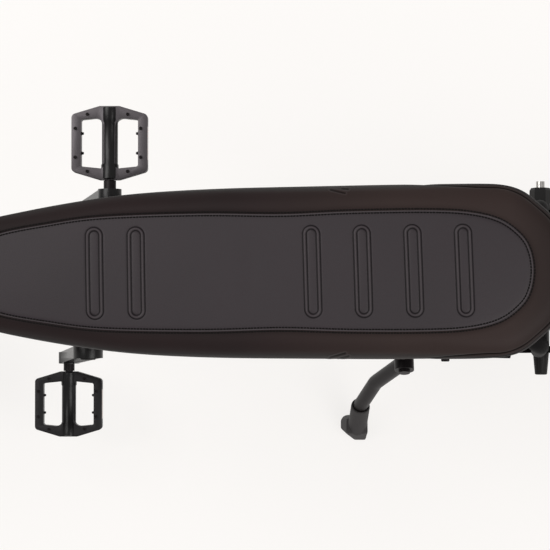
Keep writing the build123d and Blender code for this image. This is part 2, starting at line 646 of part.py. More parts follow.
def chain_wire():
    """The chain's centre line as a closed run of lines and arcs in X and Z."""
    stations = chain_loop()
    runs = [tangent_run(stations[i], stations[(i + 1) % len(stations)]) for i in range(len(stations))]
    edges = []
    for i, (start, end) in enumerate(runs):
        edges.append(Line((start.X, start.Z), (end.X, end.Z)))
        centre, radius, sense = stations[(i + 1) % len(stations)]
        leave = runs[(i + 1) % len(runs)][0]
        a0 = math.atan2(end.Z - centre.Z, end.X - centre.X)
        a1 = math.atan2(leave.Z - centre.Z, leave.X - centre.X)
        sweep_angle = (a1 - a0) * sense % (2 * math.pi)
        mid = a0 + sense * sweep_angle / 2
        edges.append(ThreePointArc((end.X, end.Z), (centre.X + radius * math.cos(mid), centre.Z + radius * math.sin(mid)),
                                   (leave.X, leave.Z)))
    return edges


def chain():
    body = Part()
    for edge in chain_wire():
        half = CHAIN_H / 2
        if edge.geom_type == GeomType.LINE:
            start, end = edge @ 0, edge @ 1
            mid, run = (start + end) / 2, end - start
            face = Pos(mid.X, mid.Y) * Rot(0, 0, math.degrees(math.atan2(run.Y, run.X))) * Rectangle(run.length, CHAIN_H)
        else:
            centre, radius = edge.arc_center, edge.radius
            ring = Circle(radius + half) - Circle(radius - half)
            reach = 3 * radius
            wedge = [centre] + [centre + ((edge @ t) - centre).normalized() * reach for t in (0, 0.25, 0.5, 0.75, 1)]
            face = (Pos(centre.X, centre.Y) * ring) & make_face(Polyline(*wedge, close=True))
        body += slab(face, CHAIN_Y - CHAIN_W / 2, CHAIN_Y + CHAIN_W / 2)
    return body


JOCKEY_T, JOCKEY_PIN_R = 6.0, 4.0


def jockey_wheels():
    radius = pitch_radius(JOCKEY_TEETH) - CHAIN_H / 2 - RUNNING_GAP
    wheels = [cross_disc(c, radius, CHAIN_Y - JOCKEY_T / 2, CHAIN_Y + JOCKEY_T / 2)
              - cross_disc(c, JOCKEY_PIN_R + 0.02, CHAIN_Y - JOCKEY_T, CHAIN_Y + JOCKEY_T) for c, _, _ in chain_loop()[2:]]
    return Compound(children=wheels)


def derailleur():
    """Cage plates outside and inside the jockey wheels, and an arm up to the dropout."""
    (guide, _, _), (tension, _, _) = chain_loop()[2:]
    plate_t, gap = 2.5, CHAIN_W / 2 + 0.4
    body = Part()
    for side in SIDES:
        y0 = CHAIN_Y + side * gap
        link = hull_plate(guide, tension, 15.0, 13.0)
        body += slab(link, y0, y0 + side * plate_t)
    for centre in (guide, tension):
        body += cross_disc(centre, JOCKEY_PIN_R, CHAIN_Y - gap - plate_t, CHAIN_Y + gap + plate_t)
    outer = -DROPOUT_Y - DROPOUT_T
    body += cross_disc(guide, 13.0, CHAIN_Y - gap, outer - 14)
    body += slab(hull_plate(guide, REAR + Vector(20, 0, -26), 13.0, 11.0), outer - 14, outer)
    for centre in (guide, tension):
        room = cross_disc(centre, pitch_radius(JOCKEY_TEETH), CHAIN_Y - JOCKEY_T / 2 - RUNNING_GAP, CHAIN_Y + JOCKEY_T / 2 + RUNNING_GAP)
        body -= room - cross_disc(centre, JOCKEY_PIN_R, CHAIN_Y - 2 * JOCKEY_T, CHAIN_Y + 2 * JOCKEY_T)
    return body


def hull_plate(a, b, ra, rb):
    """A flat link: two round ends and the straight sides between them."""
    d = b - a
    span = math.hypot(d.X, d.Z)
    lean = math.asin((ra - rb) / span)
    base = math.atan2(d.Z, d.X)
    corners = []
    for centre, radius, senses in ((a, ra, (1, -1)), (b, rb, (-1, 1))):
        for s in senses:
            t = base + s * (math.pi / 2 - lean)
            corners.append((centre.X + radius * math.cos(t), centre.Z + radius * math.sin(t)))
    face = make_face(Polyline(*corners, close=True))
    return face + Pos(a.X, a.Z) * Circle(ra) + Pos(b.X, b.Z) * Circle(rb)


def pedal_centre(side):
    """Right pedal up and back, left pedal down and forward."""
    a = math.radians(CRANK_DEG)
    return BB + Vector(math.cos(a) * side, PEDAL_MID_Y / CRANK_L * side, -math.sin(a) * side) * CRANK_L


RING_T, SPIDER_T, GUARD_T = 3.0, 5.0, 3.0
SPIDER_Y = CHAIN_Y - RING_T / 2


def crank_arm(side):
    """One arm: a flat link splayed outwards, with a straight boss at each end."""
    end = pedal_centre(side)
    outer, inner = side * CRANK_FACE_Y, side * (CRANK_FACE_Y - CRANK_T)
    drawn_in = side * CRANK_L * math.sin(math.radians(CRANK_SPLAY_DEG))
    along = at_y(end - BB, 0).normalized()
    hinge = Axis(at_y(end, (outer + inner) / 2), along.cross(Vector(0, 1, 0)))
    link = hull_plate(BB, end, CRANK_BOSS_R - CRANK_STEP, CRANK_EYE_R - CRANK_STEP)
    arm = slab(link, inner, outer).rotate(hinge, side * CRANK_SPLAY_DEG)
    arm -= cross_disc(end, 2 * CRANK_EYE_R, outer, outer + side * CRANK_T)
    arm += cross_disc(end, CRANK_EYE_R, inner, outer) + cross_disc(BB, CRANK_BOSS_R, inner - drawn_in, outer - drawn_in)
    return arm - cross_disc(end, PEDAL_SPINDLE_R + 0.02, -300, 300)


def crank_arms():
    drawn_in = CRANK_L * math.sin(math.radians(CRANK_SPLAY_DEG))
    reach = CRANK_FACE_Y - drawn_in - 2
    body = cross_disc(BB, SPINDLE_R, -reach, reach)
    for side in SIDES:
        body += crank_arm(side)
    for k in range(5):
        end = polar(BB, pitch_radius(RING_TEETH) - 24, 72 * k + 90)
        body += slab(hull_plate(BB, end, 15.0, 8.0), SPIDER_Y, SPIDER_Y - SPIDER_T)
    body += cross_disc(BB, 18.0, SPIDER_Y, -CRANK_FACE_Y + CRANK_T + drawn_in)
    return body


def chainring():
    outer = pitch_radius(RING_TEETH) - CHAIN_H / 2 - RUNNING_GAP
    ring = Pos(BB_X, BB_Z) * (Circle(outer) - Circle(outer - 26))
    return slab(ring, SPIDER_Y + RING_T, SPIDER_Y)


def chain_guard():
    outer = pitch_radius(RING_TEETH) + 8
    ring = Pos(BB_X, BB_Z) * (Circle(outer) - Circle(outer - 34))
    return slab(ring, SPIDER_Y - SPIDER_T, SPIDER_Y - SPIDER_T - GUARD_T)


def pedal_spindles():
    parts = []
    for side in SIDES:
        c = pedal_centre(side)
        shaft = cross_disc(c, PEDAL_SPINDLE_R, side * (CRANK_FACE_Y - CRANK_T), side * (PEDAL_MID_Y + PEDAL_WIDE / 2 - 8))
        parts.append(shaft + cross_disc(c, PEDAL_TUBE_R - 0.4, side * CRANK_FACE_Y, side * (PEDAL_MID_Y - PEDAL_WIDE / 2 - 1)))
    return Compound(children=parts)


def pedal_plan():
    """The pedal from above: long sides fore and aft, both ends drawn out to a blunt peak."""
    long, wide = PEDAL_LONG / 2, PEDAL_WIDE / 2
    peak, drop = 0.26 * long, 0.23 * wide
    corners = [(long, wide - drop), (peak, wide), (-peak, wide), (-long, wide - drop),
               (-long, drop - wide), (-peak, -wide), (peak, -wide), (long, drop - wide)]
    return outline(corners, 6.0)


def pedal_windows(side):
    """The two openings: ends sloped like the frame, the outer corner by the tube well rounded."""
    near, far = PEDAL_TUBE_R - 0.8, PEDAL_LONG / 2 - PEDAL_RAIL
    deep, shallow = PEDAL_WIDE / 2 - 14.5, PEDAL_WIDE / 2 - 17.5
    windows = []
    for s in SIDES:
        windows.append(rounded_loop([(s * near, side * deep, 11.0), (s * far, side * shallow, 3.0),
                                     (s * far, -side * shallow, 3.0), (s * near, -side * deep, 4.0)]))
    return windows


def pedal(side):
    face = pedal_plan()
    for window in pedal_windows(side):
        face -= window
    body = Pos(0, 0, -PEDAL_T / 2) * extrude(face, amount=PEDAL_T)
    body += rod((0, -PEDAL_WIDE / 2 + 1, 0), (0, PEDAL_WIDE / 2 - 2, 0), PEDAL_TUBE_R)
    body -= rod((0, -side * (PEDAL_WIDE / 2 + 5), 0), (0, side * (PEDAL_WIDE / 2 - 7), 0), PEDAL_SPINDLE_R + RUNNING_GAP)
    for s in SIDES:
        body -= Pos(s * PEDAL_LONG / 2, 0, 0) * Box(2 * REFLECTOR_T, REFLECTOR_L, REFLECTOR_H)
    return Pos(*pedal_centre(side)) * body


REFLECTOR_T, REFLECTOR_L, REFLECTOR_H = 3.0, 44.0, 9.0


def pedal_reflectors(side):
    plates = [Pos(s * (PEDAL_LONG - REFLECTOR_T) / 2, 0, 0) * Box(REFLECTOR_T, REFLECTOR_L, REFLECTOR_H) for s in SIDES]
    return Pos(*pedal_centre(side)) * Compound(children=plates)


# Rear axle hardware and rack eyelets

AXLE_COVER_Y, AXLE_END_Y, AXLE_END_R = 134.0, 143.0, 6.0


def rear_axle():
    """Axle with a bare threaded end past the right nut."""
    body = cross_disc(REAR, REAR_AXLE_R, -AXLE_COVER_Y, DROPOUT_Y + DROPOUT_T + 20)
    return body + cross_disc(REAR, AXLE_END_R, -AXLE_COVER_Y, -AXLE_END_Y)


def axle_cap():
    """Round cover over the left axle nut, drawn in to a blunt end."""
    seat_y, end_y = DROPOUT_Y + DROPOUT_T, 131.0
    body = turned([(0, seat_y), (11.4, seat_y), (8.6, end_y - 1), (7.6, end_y), (0, end_y)])
    return Pos(*REAR) * (body - cross_disc(Vector(), REAR_AXLE_R + 0.02, seat_y - 1, seat_y + 20.02))


def axle_nut():
    """Right axle nut with its flange and cover."""
    seat_y = -DROPOUT_Y - DROPOUT_T
    body = cross_disc(REAR, 16.5, seat_y, seat_y - 8) + cross_disc(REAR, 14.0, seat_y - 8, -AXLE_COVER_Y)
    return body - cross_disc(REAR, REAR_AXLE_R + 0.02, seat_y + 1, -AXLE_COVER_Y - 1)


EYELET = (-14.0, TYRE_R + 46.0)
EYELET_R, EYELET_BORE_R, EYELET_L = 8.0, 2.5, 10.0


def rack_eyelets():
    """Threaded studs on the outer faces of the dropouts, for a rack."""
    at = Vector(EYELET[0], 0, EYELET[1])
    face = DROPOUT_Y + DROPOUT_T
    return Compound(children=[
        cross_disc(at, EYELET_R, s * face, s * (face + EYELET_L)) - cross_disc(at, EYELET_BORE_R, s * (face + 1), s * (face + EYELET_L + 1))
        for s in SIDES])


# Side stand

def stand_bracket():
    """A plate under the left chainstay, square to the stand's pivot."""
    inner = STAND_PIVOT - STAND_AXIS * (STAND_EYE_L / 2 + RUNNING_GAP)
    plate = rod(inner - STAND_AXIS * 7, inner, STAND_EYE_R + 3)
    block = Pos(STAND_PIVOT.X, DROPOUT_Y - 1, TYRE_R - 12) * Box(40, 26, 30)
    keep_out = rod(inner, inner + STAND_AXIS * 60, 60)
    body = plate + (block - keep_out)
    for side in SIDES[:1]:
        body -= bent_tube(chainstay_points(side), CHAINSTAY_R, TUBE_BEND)
    return body - rod(STAND_PIVOT - STAND_AXIS * 60, STAND_PIVOT + STAND_AXIS * 60, STAND_PIN_R + 0.02)


def stand_pin():
    half = STAND_EYE_L / 2 + RUNNING_GAP
    body = rod(STAND_PIVOT - STAND_AXIS * (half + 7), STAND_PIVOT + STAND_AXIS * half, STAND_PIN_R)
    return body + rod(STAND_PIVOT + STAND_AXIS * half, STAND_PIVOT + STAND_AXIS * (half + 4), STAND_PIN_R + 3)


def floor_z(y):
    """Height of the floor under the leaning bike, seen in the upright bike."""
    return y * TAN_LEAN - GROUND_LIFT / math.cos(math.radians(LEAN_DEG))


STAND_KNEES = ((0.62, 0.30, 0.42), (0.94, 0.64, 0.76))


def stand_points():
    """The leg's line from its pivot, over two knees, to the foot."""
    foot = Vector(STAND_FOOT.X, STAND_FOOT.Y, floor_z(STAND_FOOT.Y) + 22)
    run = foot - STAND_PIVOT
    return [STAND_PIVOT, *[STAND_PIVOT + Vector(run.X * fx, run.Y * fy, run.Z * fz) for fx, fy, fz in STAND_KNEES], foot]


def stand_leg():
    eye = rod(STAND_PIVOT - STAND_AXIS * STAND_EYE_L / 2, STAND_PIVOT + STAND_AXIS * STAND_EYE_L / 2, STAND_EYE_R)
    body = eye + bent_tube(stand_points(), STAND_LEG_R, 60.0)
    return body - rod(STAND_PIVOT - STAND_AXIS * 40, STAND_PIVOT + STAND_AXIS * 40, STAND_PIN_R + RUNNING_GAP)


BOOT_R, BOOT_L = 14.5, 62.0


def stand_foot():
    """Rubber boot: a sleeve up the leg and a pad that spreads towards the floor."""
    height, length, width, taper = 34.0, 50.0, 40.0, 14.0
    lift = floor_z(STAND_FOOT.Y)
    pad = extrude(fillet(Rectangle(length, width).vertices(), 12.0), amount=height, taper=taper)
    pad = Pos(STAND_FOOT.X, STAND_FOOT.Y, lift) * Rot(LEAN_DEG, 0, 0) * pad
    foot, knee = stand_points()[-1], stand_points()[-2]
    sleeve = rod(foot, foot + (knee - foot).normalized() * BOOT_L, BOOT_R)
    return pad + sleeve - stand_leg()


NODES = {
    "frame": frame, "battery": battery, "controller": controller, "seat_base": seat_base, "seat_cushion": seat_cushion,
    "rear_fender": rear_fender, "tail_light": tail_light, "chain": chain, "derailleur": derailleur,
    "jockey_wheels": jockey_wheels, "rear_axle": rear_axle, "axle_cap": axle_cap, "axle_nut": axle_nut,
    "rear_caliper": rear_caliper, "stand_bracket": stand_bracket, "stand_pin": stand_pin, "rack_eyelets": rack_eyelets,
    "fork_crown": fork_crown, "fork_lowers": fork_lowers, "front_axle": front_axle, "stem": stem,
    "handlebar": handlebar, "grip_left": lambda: grip(1), "grip_right": lambda: grip(-1),
    "lever_left": lambda: lever(1), "lever_right": lambda: lever(-1), "display": display, "headlight": headlight,
    "headlight_lens": headlight_lens,
    "front_fender": front_fender, "front_caliper": front_caliper,
    "front_tyre": lambda: Pos(*FRONT) * tyre(), "front_rim": lambda: Pos(*FRONT) * rim(),
    "front_spokes": lambda: Pos(*FRONT) * spokes(FRONT_FLANGE_R - SPOKE_HOLE_IN, FRONT_FLANGE_Y, 50.0),
    "front_hub": lambda: Pos(*FRONT) * front_hub(), "front_rotor": lambda: Pos(*FRONT) * rotor(FRONT_ROTOR_Y),
    "rear_tyre": lambda: Pos(*REAR) * tyre(), "rear_rim": lambda: Pos(*REAR) * rim(),
    "rear_spokes": lambda: Pos(*REAR) * spokes(REAR_FLANGE_R - SPOKE_HOLE_IN, REAR_FLANGE_Y, 15.0),
    "hub_motor": lambda: Pos(*REAR) * hub_motor(), "rear_rotor": lambda: Pos(*REAR) * rotor(REAR_ROTOR_Y),
    "freewheel": lambda: Pos(*REAR) * freewheel(),
    "crank_arms": crank_arms, "chainring": chainring, "chain_guard": chain_guard, "pedal_spindles": pedal_spindles,
    "pedal_right": lambda: pedal(-1), "pedal_left": lambda: pedal(1),
    "reflectors_right": lambda: pedal_reflectors(-1), "reflectors_left": lambda: pedal_reflectors(1),
    "stand_leg": stand_leg, "stand_foot": stand_foot,
}


def placed():
    """Every piece leaned onto the stand, with the placing that was used."""
    shapes = {name: LEAN * make() for name, make in NODES.items()}
    boxes = [shape.bounding_box() for shape in shapes.values()]
    low = [min(getattr(box.min, axis) for box in boxes) for axis in "XYZ"]
    high = [max(getattr(box.max, axis) for box in boxes) for axis in "XYZ"]
    shift = Pos(-(low[0] + high[0]) / 2, -(low[1] + high[1]) / 2, -low[2])
    return {name: shift * shape for name, shape in shapes.items()}, shift * LEAN


if __name__ == "__main__":
    os.makedirs("parts", exist_ok=True)
    for name, shape in placed()[0].items():
        export_step(shape, f"parts/{name}.step")
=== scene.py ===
"""Electric fat bike leaning on its side stand: bench seat, hardware and finishes, in metres."""
import json
import math
import bmesh
import bpy
from mathutils import Matrix, Vector
from mathutils.bvhtree import BVHTree
from mathutils.kdtree import KDTree


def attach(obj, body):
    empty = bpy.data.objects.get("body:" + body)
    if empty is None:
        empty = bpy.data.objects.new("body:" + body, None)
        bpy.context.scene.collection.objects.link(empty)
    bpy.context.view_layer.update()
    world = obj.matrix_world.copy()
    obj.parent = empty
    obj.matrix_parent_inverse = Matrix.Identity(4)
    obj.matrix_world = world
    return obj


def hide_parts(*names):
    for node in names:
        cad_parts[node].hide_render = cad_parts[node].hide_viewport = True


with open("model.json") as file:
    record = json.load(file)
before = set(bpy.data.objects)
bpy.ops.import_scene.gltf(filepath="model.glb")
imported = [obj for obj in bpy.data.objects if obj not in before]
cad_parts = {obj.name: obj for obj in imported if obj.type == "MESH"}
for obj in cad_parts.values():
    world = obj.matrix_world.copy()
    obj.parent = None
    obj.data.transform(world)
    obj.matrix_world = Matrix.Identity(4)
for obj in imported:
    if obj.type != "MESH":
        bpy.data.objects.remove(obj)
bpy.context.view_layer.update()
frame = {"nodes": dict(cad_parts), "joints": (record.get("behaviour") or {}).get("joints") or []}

MM = 0.001
TYRE_R = 0.290
# The bike is modelled upright, X forward from the rear axle, and PLACE leans it onto the stand.
LEAN = Matrix.Rotation(math.radians(-8.0), 4, "X")
REAR_HUB = Vector(next(j["pos_m"] for j in frame["joints"] if j["name"] == "rear_wheel"))
PLACE = Matrix.Translation(REAR_HUB - LEAN @ Vector((0, 0, TYRE_R))) @ LEAN
UPRIGHT = PLACE.inverted()
SIDES = (1, -1)


def mm(*values):
    return Vector(values) * MM


def stood(point, run, normal):
    """A place at a point with X along a run and Z along a normal."""
    return Matrix.Translation(point) @ Matrix((run, normal.cross(run), normal)).transposed().to_4x4()


# Camera, light and floor

def set_camera():
    """Straight down on the bench seat, square to the leaning bike."""
    eye, aim = mm(377, 48, 2817), mm(377, 0.66, 760)
    back = (eye - aim).normalized()
    data = bpy.data.cameras.new("overhead_camera")
    data.lens, data.sensor_width = 116.58, 36.0
    data.clip_end = 50.0
    camera = bpy.data.objects.new("overhead_camera", data)
    bpy.context.scene.collection.objects.link(camera)
    camera.matrix_world = PLACE @ stood(eye, Vector((-1, 0, 0)), back)
    bpy.context.scene.camera = camera


def srgb(code):
    """A hex colour as linear red, green, blue and alpha."""
    parts = [int(code[i:i + 2], 16) / 255 for i in (1, 3, 5)]
    return (*[p / 12.92 if p <= 0.04045 else ((p + 0.055) / 1.055) ** 2.4 for p in parts], 1.0)


def add(tree, kind, links=None, **settings):
    """A shader node with its settings and what feeds its sockets."""
    node = tree.nodes.new("ShaderNode" + kind)
    for key, value in settings.items():
        setattr(node, key, value)
    for socket, source in (links or {}).items():
        if isinstance(source, bpy.types.NodeSocket):
            tree.links.new(source, node.inputs[socket])
        else:
            node.inputs[socket].default_value = source
    return node


def blank_material(name):
    material = bpy.data.materials.new(name)
    material.use_nodes = True
    material.node_tree.nodes.clear()
    return material, material.node_tree


def seen_directly(tree):
    """1 where the eye, a mirror or glass looks, 0 where light bounces."""
    path = add(tree, "LightPath").outputs
    some = add(tree, "Math", {0: path["Is Camera Ray"], 1: path["Is Glossy Ray"]}, operation="MAXIMUM")
    seen = add(tree, "Math", {0: some.outputs[0], 1: path["Is Transmission Ray"]}, operation="MAXIMUM")
    return seen.outputs[0]


SOFTBOX_SIZE = 1.6


def set_floor_and_light():
    """A pale paper floor that keeps a soft shadow, a white room and two large soft lamps."""
    material, tree = blank_material("white_paper_floor")
    paper = add(tree, "BsdfDiffuse", {"Color": srgb("#f4f1ee")})
    glow = add(tree, "Emission", {"Color": srgb("#fefcfa"), "Strength": 1.0})
    share = add(tree, "Math", {0: seen_directly(tree), 1: 0.80}, operation="MULTIPLY")
    mixed = add(tree, "MixShader", {0: share.outputs[0], 1: paper.outputs[0], 2: glow.outputs[0]})
    add(tree, "OutputMaterial", {0: mixed.outputs[0]})
    bpy.ops.object.select_all(action="DESELECT")
    bpy.ops.mesh.primitive_plane_add(size=60.0)
    floor = bpy.context.object
    floor.name = "paper_floor"
    floor.data.materials.append(material)

    world = bpy.data.worlds.new("white_room")
    bpy.context.scene.world = world
    world.use_nodes = True
    tree = world.node_tree
    tree.nodes.clear()
    lit = add(tree, "Background", {0: srgb("#fffdfb"), 1: 0.62})
    shown = add(tree, "Background", {0: srgb("#fefcfa"), 1: 1.0})
    direct = add(tree, "LightPath").outputs["Is Camera Ray"]
    mixed = add(tree, "MixShader", {0: direct, 1: lit.outputs[0], 2: shown.outputs[0]})
    add(tree, "OutputWorld", {0: mixed.outputs[0]})

    for name, place, aim, watts in (("front_softbox", mm(1900, -700, 2300), mm(500, 0, 600), 42.0),
                                    ("rear_softbox", mm(-1100, 900, 2500), mm(200, 0, 600), 30.0)):
        data = bpy.data.lights.new(name, "AREA")
        data.size, data.energy, data.color = SOFTBOX_SIZE, watts, (1.0, 0.985, 0.97)
        lamp = bpy.data.objects.new(name, data)
        bpy.context.scene.collection.objects.link(lamp)
        turn = (aim - place).to_track_quat("-Z", "Y").to_matrix().to_4x4()
        lamp.matrix_world = PLACE @ Matrix.Translation(place) @ turn
    bpy.context.scene.view_settings.view_transform = "Standard"


# Finishes

GLOSS_PLAY = 0.06


def surface(name, dark, light, rough, grain_mm, bump_mm, cloud_mm=90.0, pebbled=False, metallic=0.0,
            specular=0.5, coat=0.0):
    """A finish with a fine grain in bump and gloss, and slow clouds of colour."""
    material, tree = blank_material(name)
    place = add(tree, "TexCoord").outputs["Object"]
    clouds = add(tree, "TexNoise", {"Vector": place, "Scale": 1 / (cloud_mm * MM), "Detail": 3.0})
    if pebbled:
        grain = add(tree, "TexVoronoi", {"Vector": place, "Scale": 1 / (grain_mm * MM)},
                    feature="SMOOTH_F1").outputs["Distance"]
    else:
        noise = add(tree, "TexNoise", {"Vector": place, "Scale": 1 / (grain_mm * MM), "Detail": 2.0})
        grain = noise.outputs["Fac"]
    colour = add(tree, "Mix", {0: clouds.outputs["Fac"], 6: srgb(dark), 7: srgb(light)}, data_type="RGBA")
    gloss = add(tree, "MapRange", {"Value": grain, "To Min": rough - GLOSS_PLAY,
                                   "To Max": rough + GLOSS_PLAY})
    bump = add(tree, "Bump", {"Height": grain, "Distance": bump_mm * MM, "Strength": 0.6})
    shader = add(tree, "BsdfPrincipled", {
        "Base Color": colour.outputs[2], "Roughness": gloss.outputs[0], "Normal": bump.outputs[0],
        "Metallic": metallic, "Specular IOR Level": specular, "Coat Weight": coat})
    add(tree, "OutputMaterial", {0: shader.outputs[0]})
    return material


FINISH = {
    # Polyester powder coat, sprayed and baked: black, satin, with a faint orange peel.
    "powder_coat": surface("black_powder_coat", "#0b0a0b", "#100f10", 0.66, 2.2, 0.05, specular=0.06),
    # Glass-filled nylon and ABS mouldings: dull black with a fine spark-eroded texture.
    "moulded_abs": surface("moulded_black_abs", "#100f0f", "#171616", 0.55, 0.9, 0.05, specular=0.22),
    # Battery shell in matt ABS, a shade greyer.
    "battery_abs": surface("battery_shell_abs", "#181718", "#222122", 0.5, 1.1, 0.05),
    # Natural rubber compound: dull, greyed by dust.
    "tyre_rubber": surface("tyre_rubber", "#141313", "#242221", 0.78, 1.6, 0.1, cloud_mm=55.0),
    # Soft grip rubber, moulded with a fine stipple.
    "grip_rubber": surface("grip_rubber", "#131212", "#1b1a1a", 0.7, 1.2, 0.12, pebbled=True),
    # Rubber of the stand's boot, scuffed grey by the ground.
    "boot_rubber": surface("scuffed_boot_rubber", "#1f1c1d", "#2b2829", 0.68, 1.4, 0.12),
    # Die-cast aluminium under black anodising: grey where light lies flat on it, finely blasted.
    "blasted_alloy": surface("black_anodised_alloy", "#2f2c2e", "#3a3739", 0.42, 0.8, 0.03, metallic=0.55),
    # The two pedal cages, one alloy in two colours: the upper one painted lighter as lit, the lower one
    # painted darker as in shade.
    "right_cage_alloy": surface("cage_alloy_painted_lit", "#4b474a", "#575356", 0.46, 0.8, 0.03, metallic=0.6),
    "left_cage_alloy": surface("cage_alloy_painted_shade", "#141214", "#1c1a1c", 0.44, 0.8, 0.03, metallic=0.5),
    # Toughened glass over an unlit display.
    "screen_glass": surface("display_cover_glass", "#060708", "#0a0b0c", 0.08, 5.0, 0.005, coat=0.6),
    # Gloss black enamel over forged alloy: dark face on, bright at a glancing angle.
    "gloss_enamel": surface("gloss_black_enamel", "#0a090a", "#100f10", 0.3, 3.0, 0.02, specular=0.25),
    # Black chromate on steel: near black with a soft metal sheen.
    "black_steel": surface("blackened_steel", "#161213", "#201c1d", 0.48, 1.0, 0.03, metallic=0.5,
                           specular=0.25),
    # Zinc-plated steel, bright and a little cloudy.
    "zinc": surface("zinc_plated_steel", "#a3a19e", "#b8b6b3", 0.3, 1.4, 0.02, metallic=1.0),
    # Hard-chromed steel tube, mirror smooth.
    "chrome": surface("hard_chrome", "#d3d3d4", "#e2e2e2", 0.1, 4.0, 0.005, metallic=1.0),
    # Roller chain steel, oiled and a little brown.
    "chain_steel": surface("oiled_chain_steel", "#6e6a66", "#8b8783", 0.36, 0.9, 0.03, metallic=1.0),
    # Martensitic disc steel, ground flat.
    "disc_steel": surface("ground_disc_steel", "#a9a8a6", "#c2c1bf", 0.3, 0.7, 0.02, metallic=1.0),
    # Moulded acrylic, dyed through: red lamp and amber reflectors.
    "red_acrylic": surface("red_acrylic", "#5d0808", "#7a0c0c", 0.14, 2.5, 0.08, coat=0.5),
    "amber_acrylic": surface("amber_acrylic", "#8a4a20", "#a55c28", 0.2, 2.0, 0.15, pebbled=True, coat=0.4),
    # Bonded nylon thread: thin, dark, with a low lustre.
    "nylon_thread": surface("bonded_nylon_thread", "#0b0a0a", "#121010", 0.85, 0.5, 0.05, specular=0.1),
}

# The nodes that show themselves; pieces made below stand for the others.
NODE_FINISH = {
    "powder_coat": ("frame", "fork_crown"),
    "moulded_abs": ("seat_base", "rear_fender", "front_fender", "chain_guard", "headlight"),
    "blasted_alloy": ("handlebar", "rear_caliper", "front_caliper", "derailleur", "fork_lowers"),
    "black_steel": ("stand_leg", "stand_pin", "front_spokes", "rear_spokes", "pedal_spindles", "chainring"),
    "zinc": ("rear_axle", "front_axle"),
    "chain_steel": ("freewheel", "jockey_wheels"),
    "disc_steel": ("front_rotor", "rear_rotor"),
    "amber_acrylic": ("reflectors_left", "reflectors_right"),
}

FLUTE_MM = 6.0


def clear_lens():
    """Clear polycarbonate, moulded: glassy with faint flutes."""
    material, tree = blank_material("clear_polycarbonate")
    place = add(tree, "TexCoord").outputs["Object"]
    fluted = 1 / (2 * math.pi * FLUTE_MM * MM)
    flutes = add(tree, "TexWave", {"Vector": place, "Scale": fluted}, bands_direction="Y")
    bump = add(tree, "Bump", {"Height": flutes.outputs["Fac"], "Distance": 0.4 * MM, "Strength": 0.5})
    shader = add(tree, "BsdfPrincipled", {
        "Base Color": srgb("#f2f4f5"), "Roughness": 0.06, "IOR": 1.58, "Transmission Weight": 0.85,
        "Normal": bump.outputs[0]})
    add(tree, "OutputMaterial", {0: shader.outputs[0]})
    return material


FINISH["clear_lens"] = clear_lens()

# Painted tints: near black for painted shade in grooves, creases and on steep sides, warm grey for a painted
# highlight on crests, lips and folds.
PAINTED_SHADE, PAINTED_HIGHLIGHT = "#050505", "#4a4345"
HIDE_CLOUD_MM = 120.0


def leatherette(name, dark, light, rough, grain_mm, bump_mm, shine, lines, bands=()):
    """Coated leather: pebbled grain, with the sewn and pressed lines that the mesh carries sunk, painted
    shade along the grooves and a painted highlight along the crests.

    A line is (attribute, distance, half width, share, colour): the colour is painted along it, and a line in
    the painted shade also dims the specular level there.
    A band is (attribute, start, end, share, colour), and runs on past its end.
    """
    material, tree = blank_material(name)
    place = add(tree, "TexCoord").outputs["Object"]
    clouds = add(tree, "TexNoise", {"Vector": place, "Scale": 1 / (HIDE_CLOUD_MM * MM), "Detail": 3.0})
    grain = add(tree, "TexVoronoi", {"Vector": place, "Scale": 1 / (grain_mm * MM)}, feature="SMOOTH_F1")
    pores = add(tree, "TexNoise", {"Vector": place, "Scale": 1 / (0.6 * grain_mm * MM), "Detail": 3.0})
    height = add(tree, "Math", {0: grain.outputs["Distance"], 1: pores.outputs["Fac"]}, operation="ADD")
    colour = add(tree, "Mix", {0: clouds.outputs["Fac"], 6: srgb(dark), 7: srgb(light)}, data_type="RGBA")
    for attribute, start_mm, end_mm, share, tint in bands:
        line = add(tree, "Attribute", attribute_name=attribute).outputs["Fac"]
        past = add(tree, "MapRange", {"Value": line, "From Min": start_mm, "From Max": end_mm,
                                      "To Max": share})
        colour = add(tree, "Mix", {0: past.outputs[0], 6: colour.outputs[2], 7: srgb(tint)}, data_type="RGBA")
    for attribute, at_mm, half_mm, share, tint in lines:
        line = add(tree, "Attribute", attribute_name=attribute).outputs["Fac"]
        off = add(tree, "Math", {0: line, 1: at_mm}, operation="SUBTRACT")
        away = add(tree, "Math", {0: off.outputs[0]}, operation="ABSOLUTE").outputs[0]
        shade = add(tree, "MapRange", {"Value": away, "From Max": half_mm, "To Min": share, "To Max": 0.0},
                    interpolation_type="SMOOTHSTEP").outputs[0]
        colour = add(tree, "Mix", {0: shade, 6: colour.outputs[2], 7: srgb(tint)}, data_type="RGBA")
        # A line in the painted shade dims the specular level as well: painted shade on the shine.
        if tint == PAINTED_SHADE:
            shine = add(tree, "Mix", {0: shade, 2: shine, 3: 0.0}).outputs[0]
    gloss = add(tree, "MapRange", {"Value": pores.outputs["Fac"], "To Min": rough - GLOSS_PLAY,
                                   "To Max": rough + GLOSS_PLAY})
    bump = add(tree, "Bump", {"Height": height.outputs[0], "Distance": bump_mm * MM, "Strength": 0.5})
    shader = add(tree, "BsdfPrincipled", {
        "Base Color": colour.outputs[2], "Roughness": gloss.outputs[0], "Normal": bump.outputs[0],
        "Specular IOR Level": shine})
    add(tree, "OutputMaterial", {0: shader.outputs[0]})
    return material


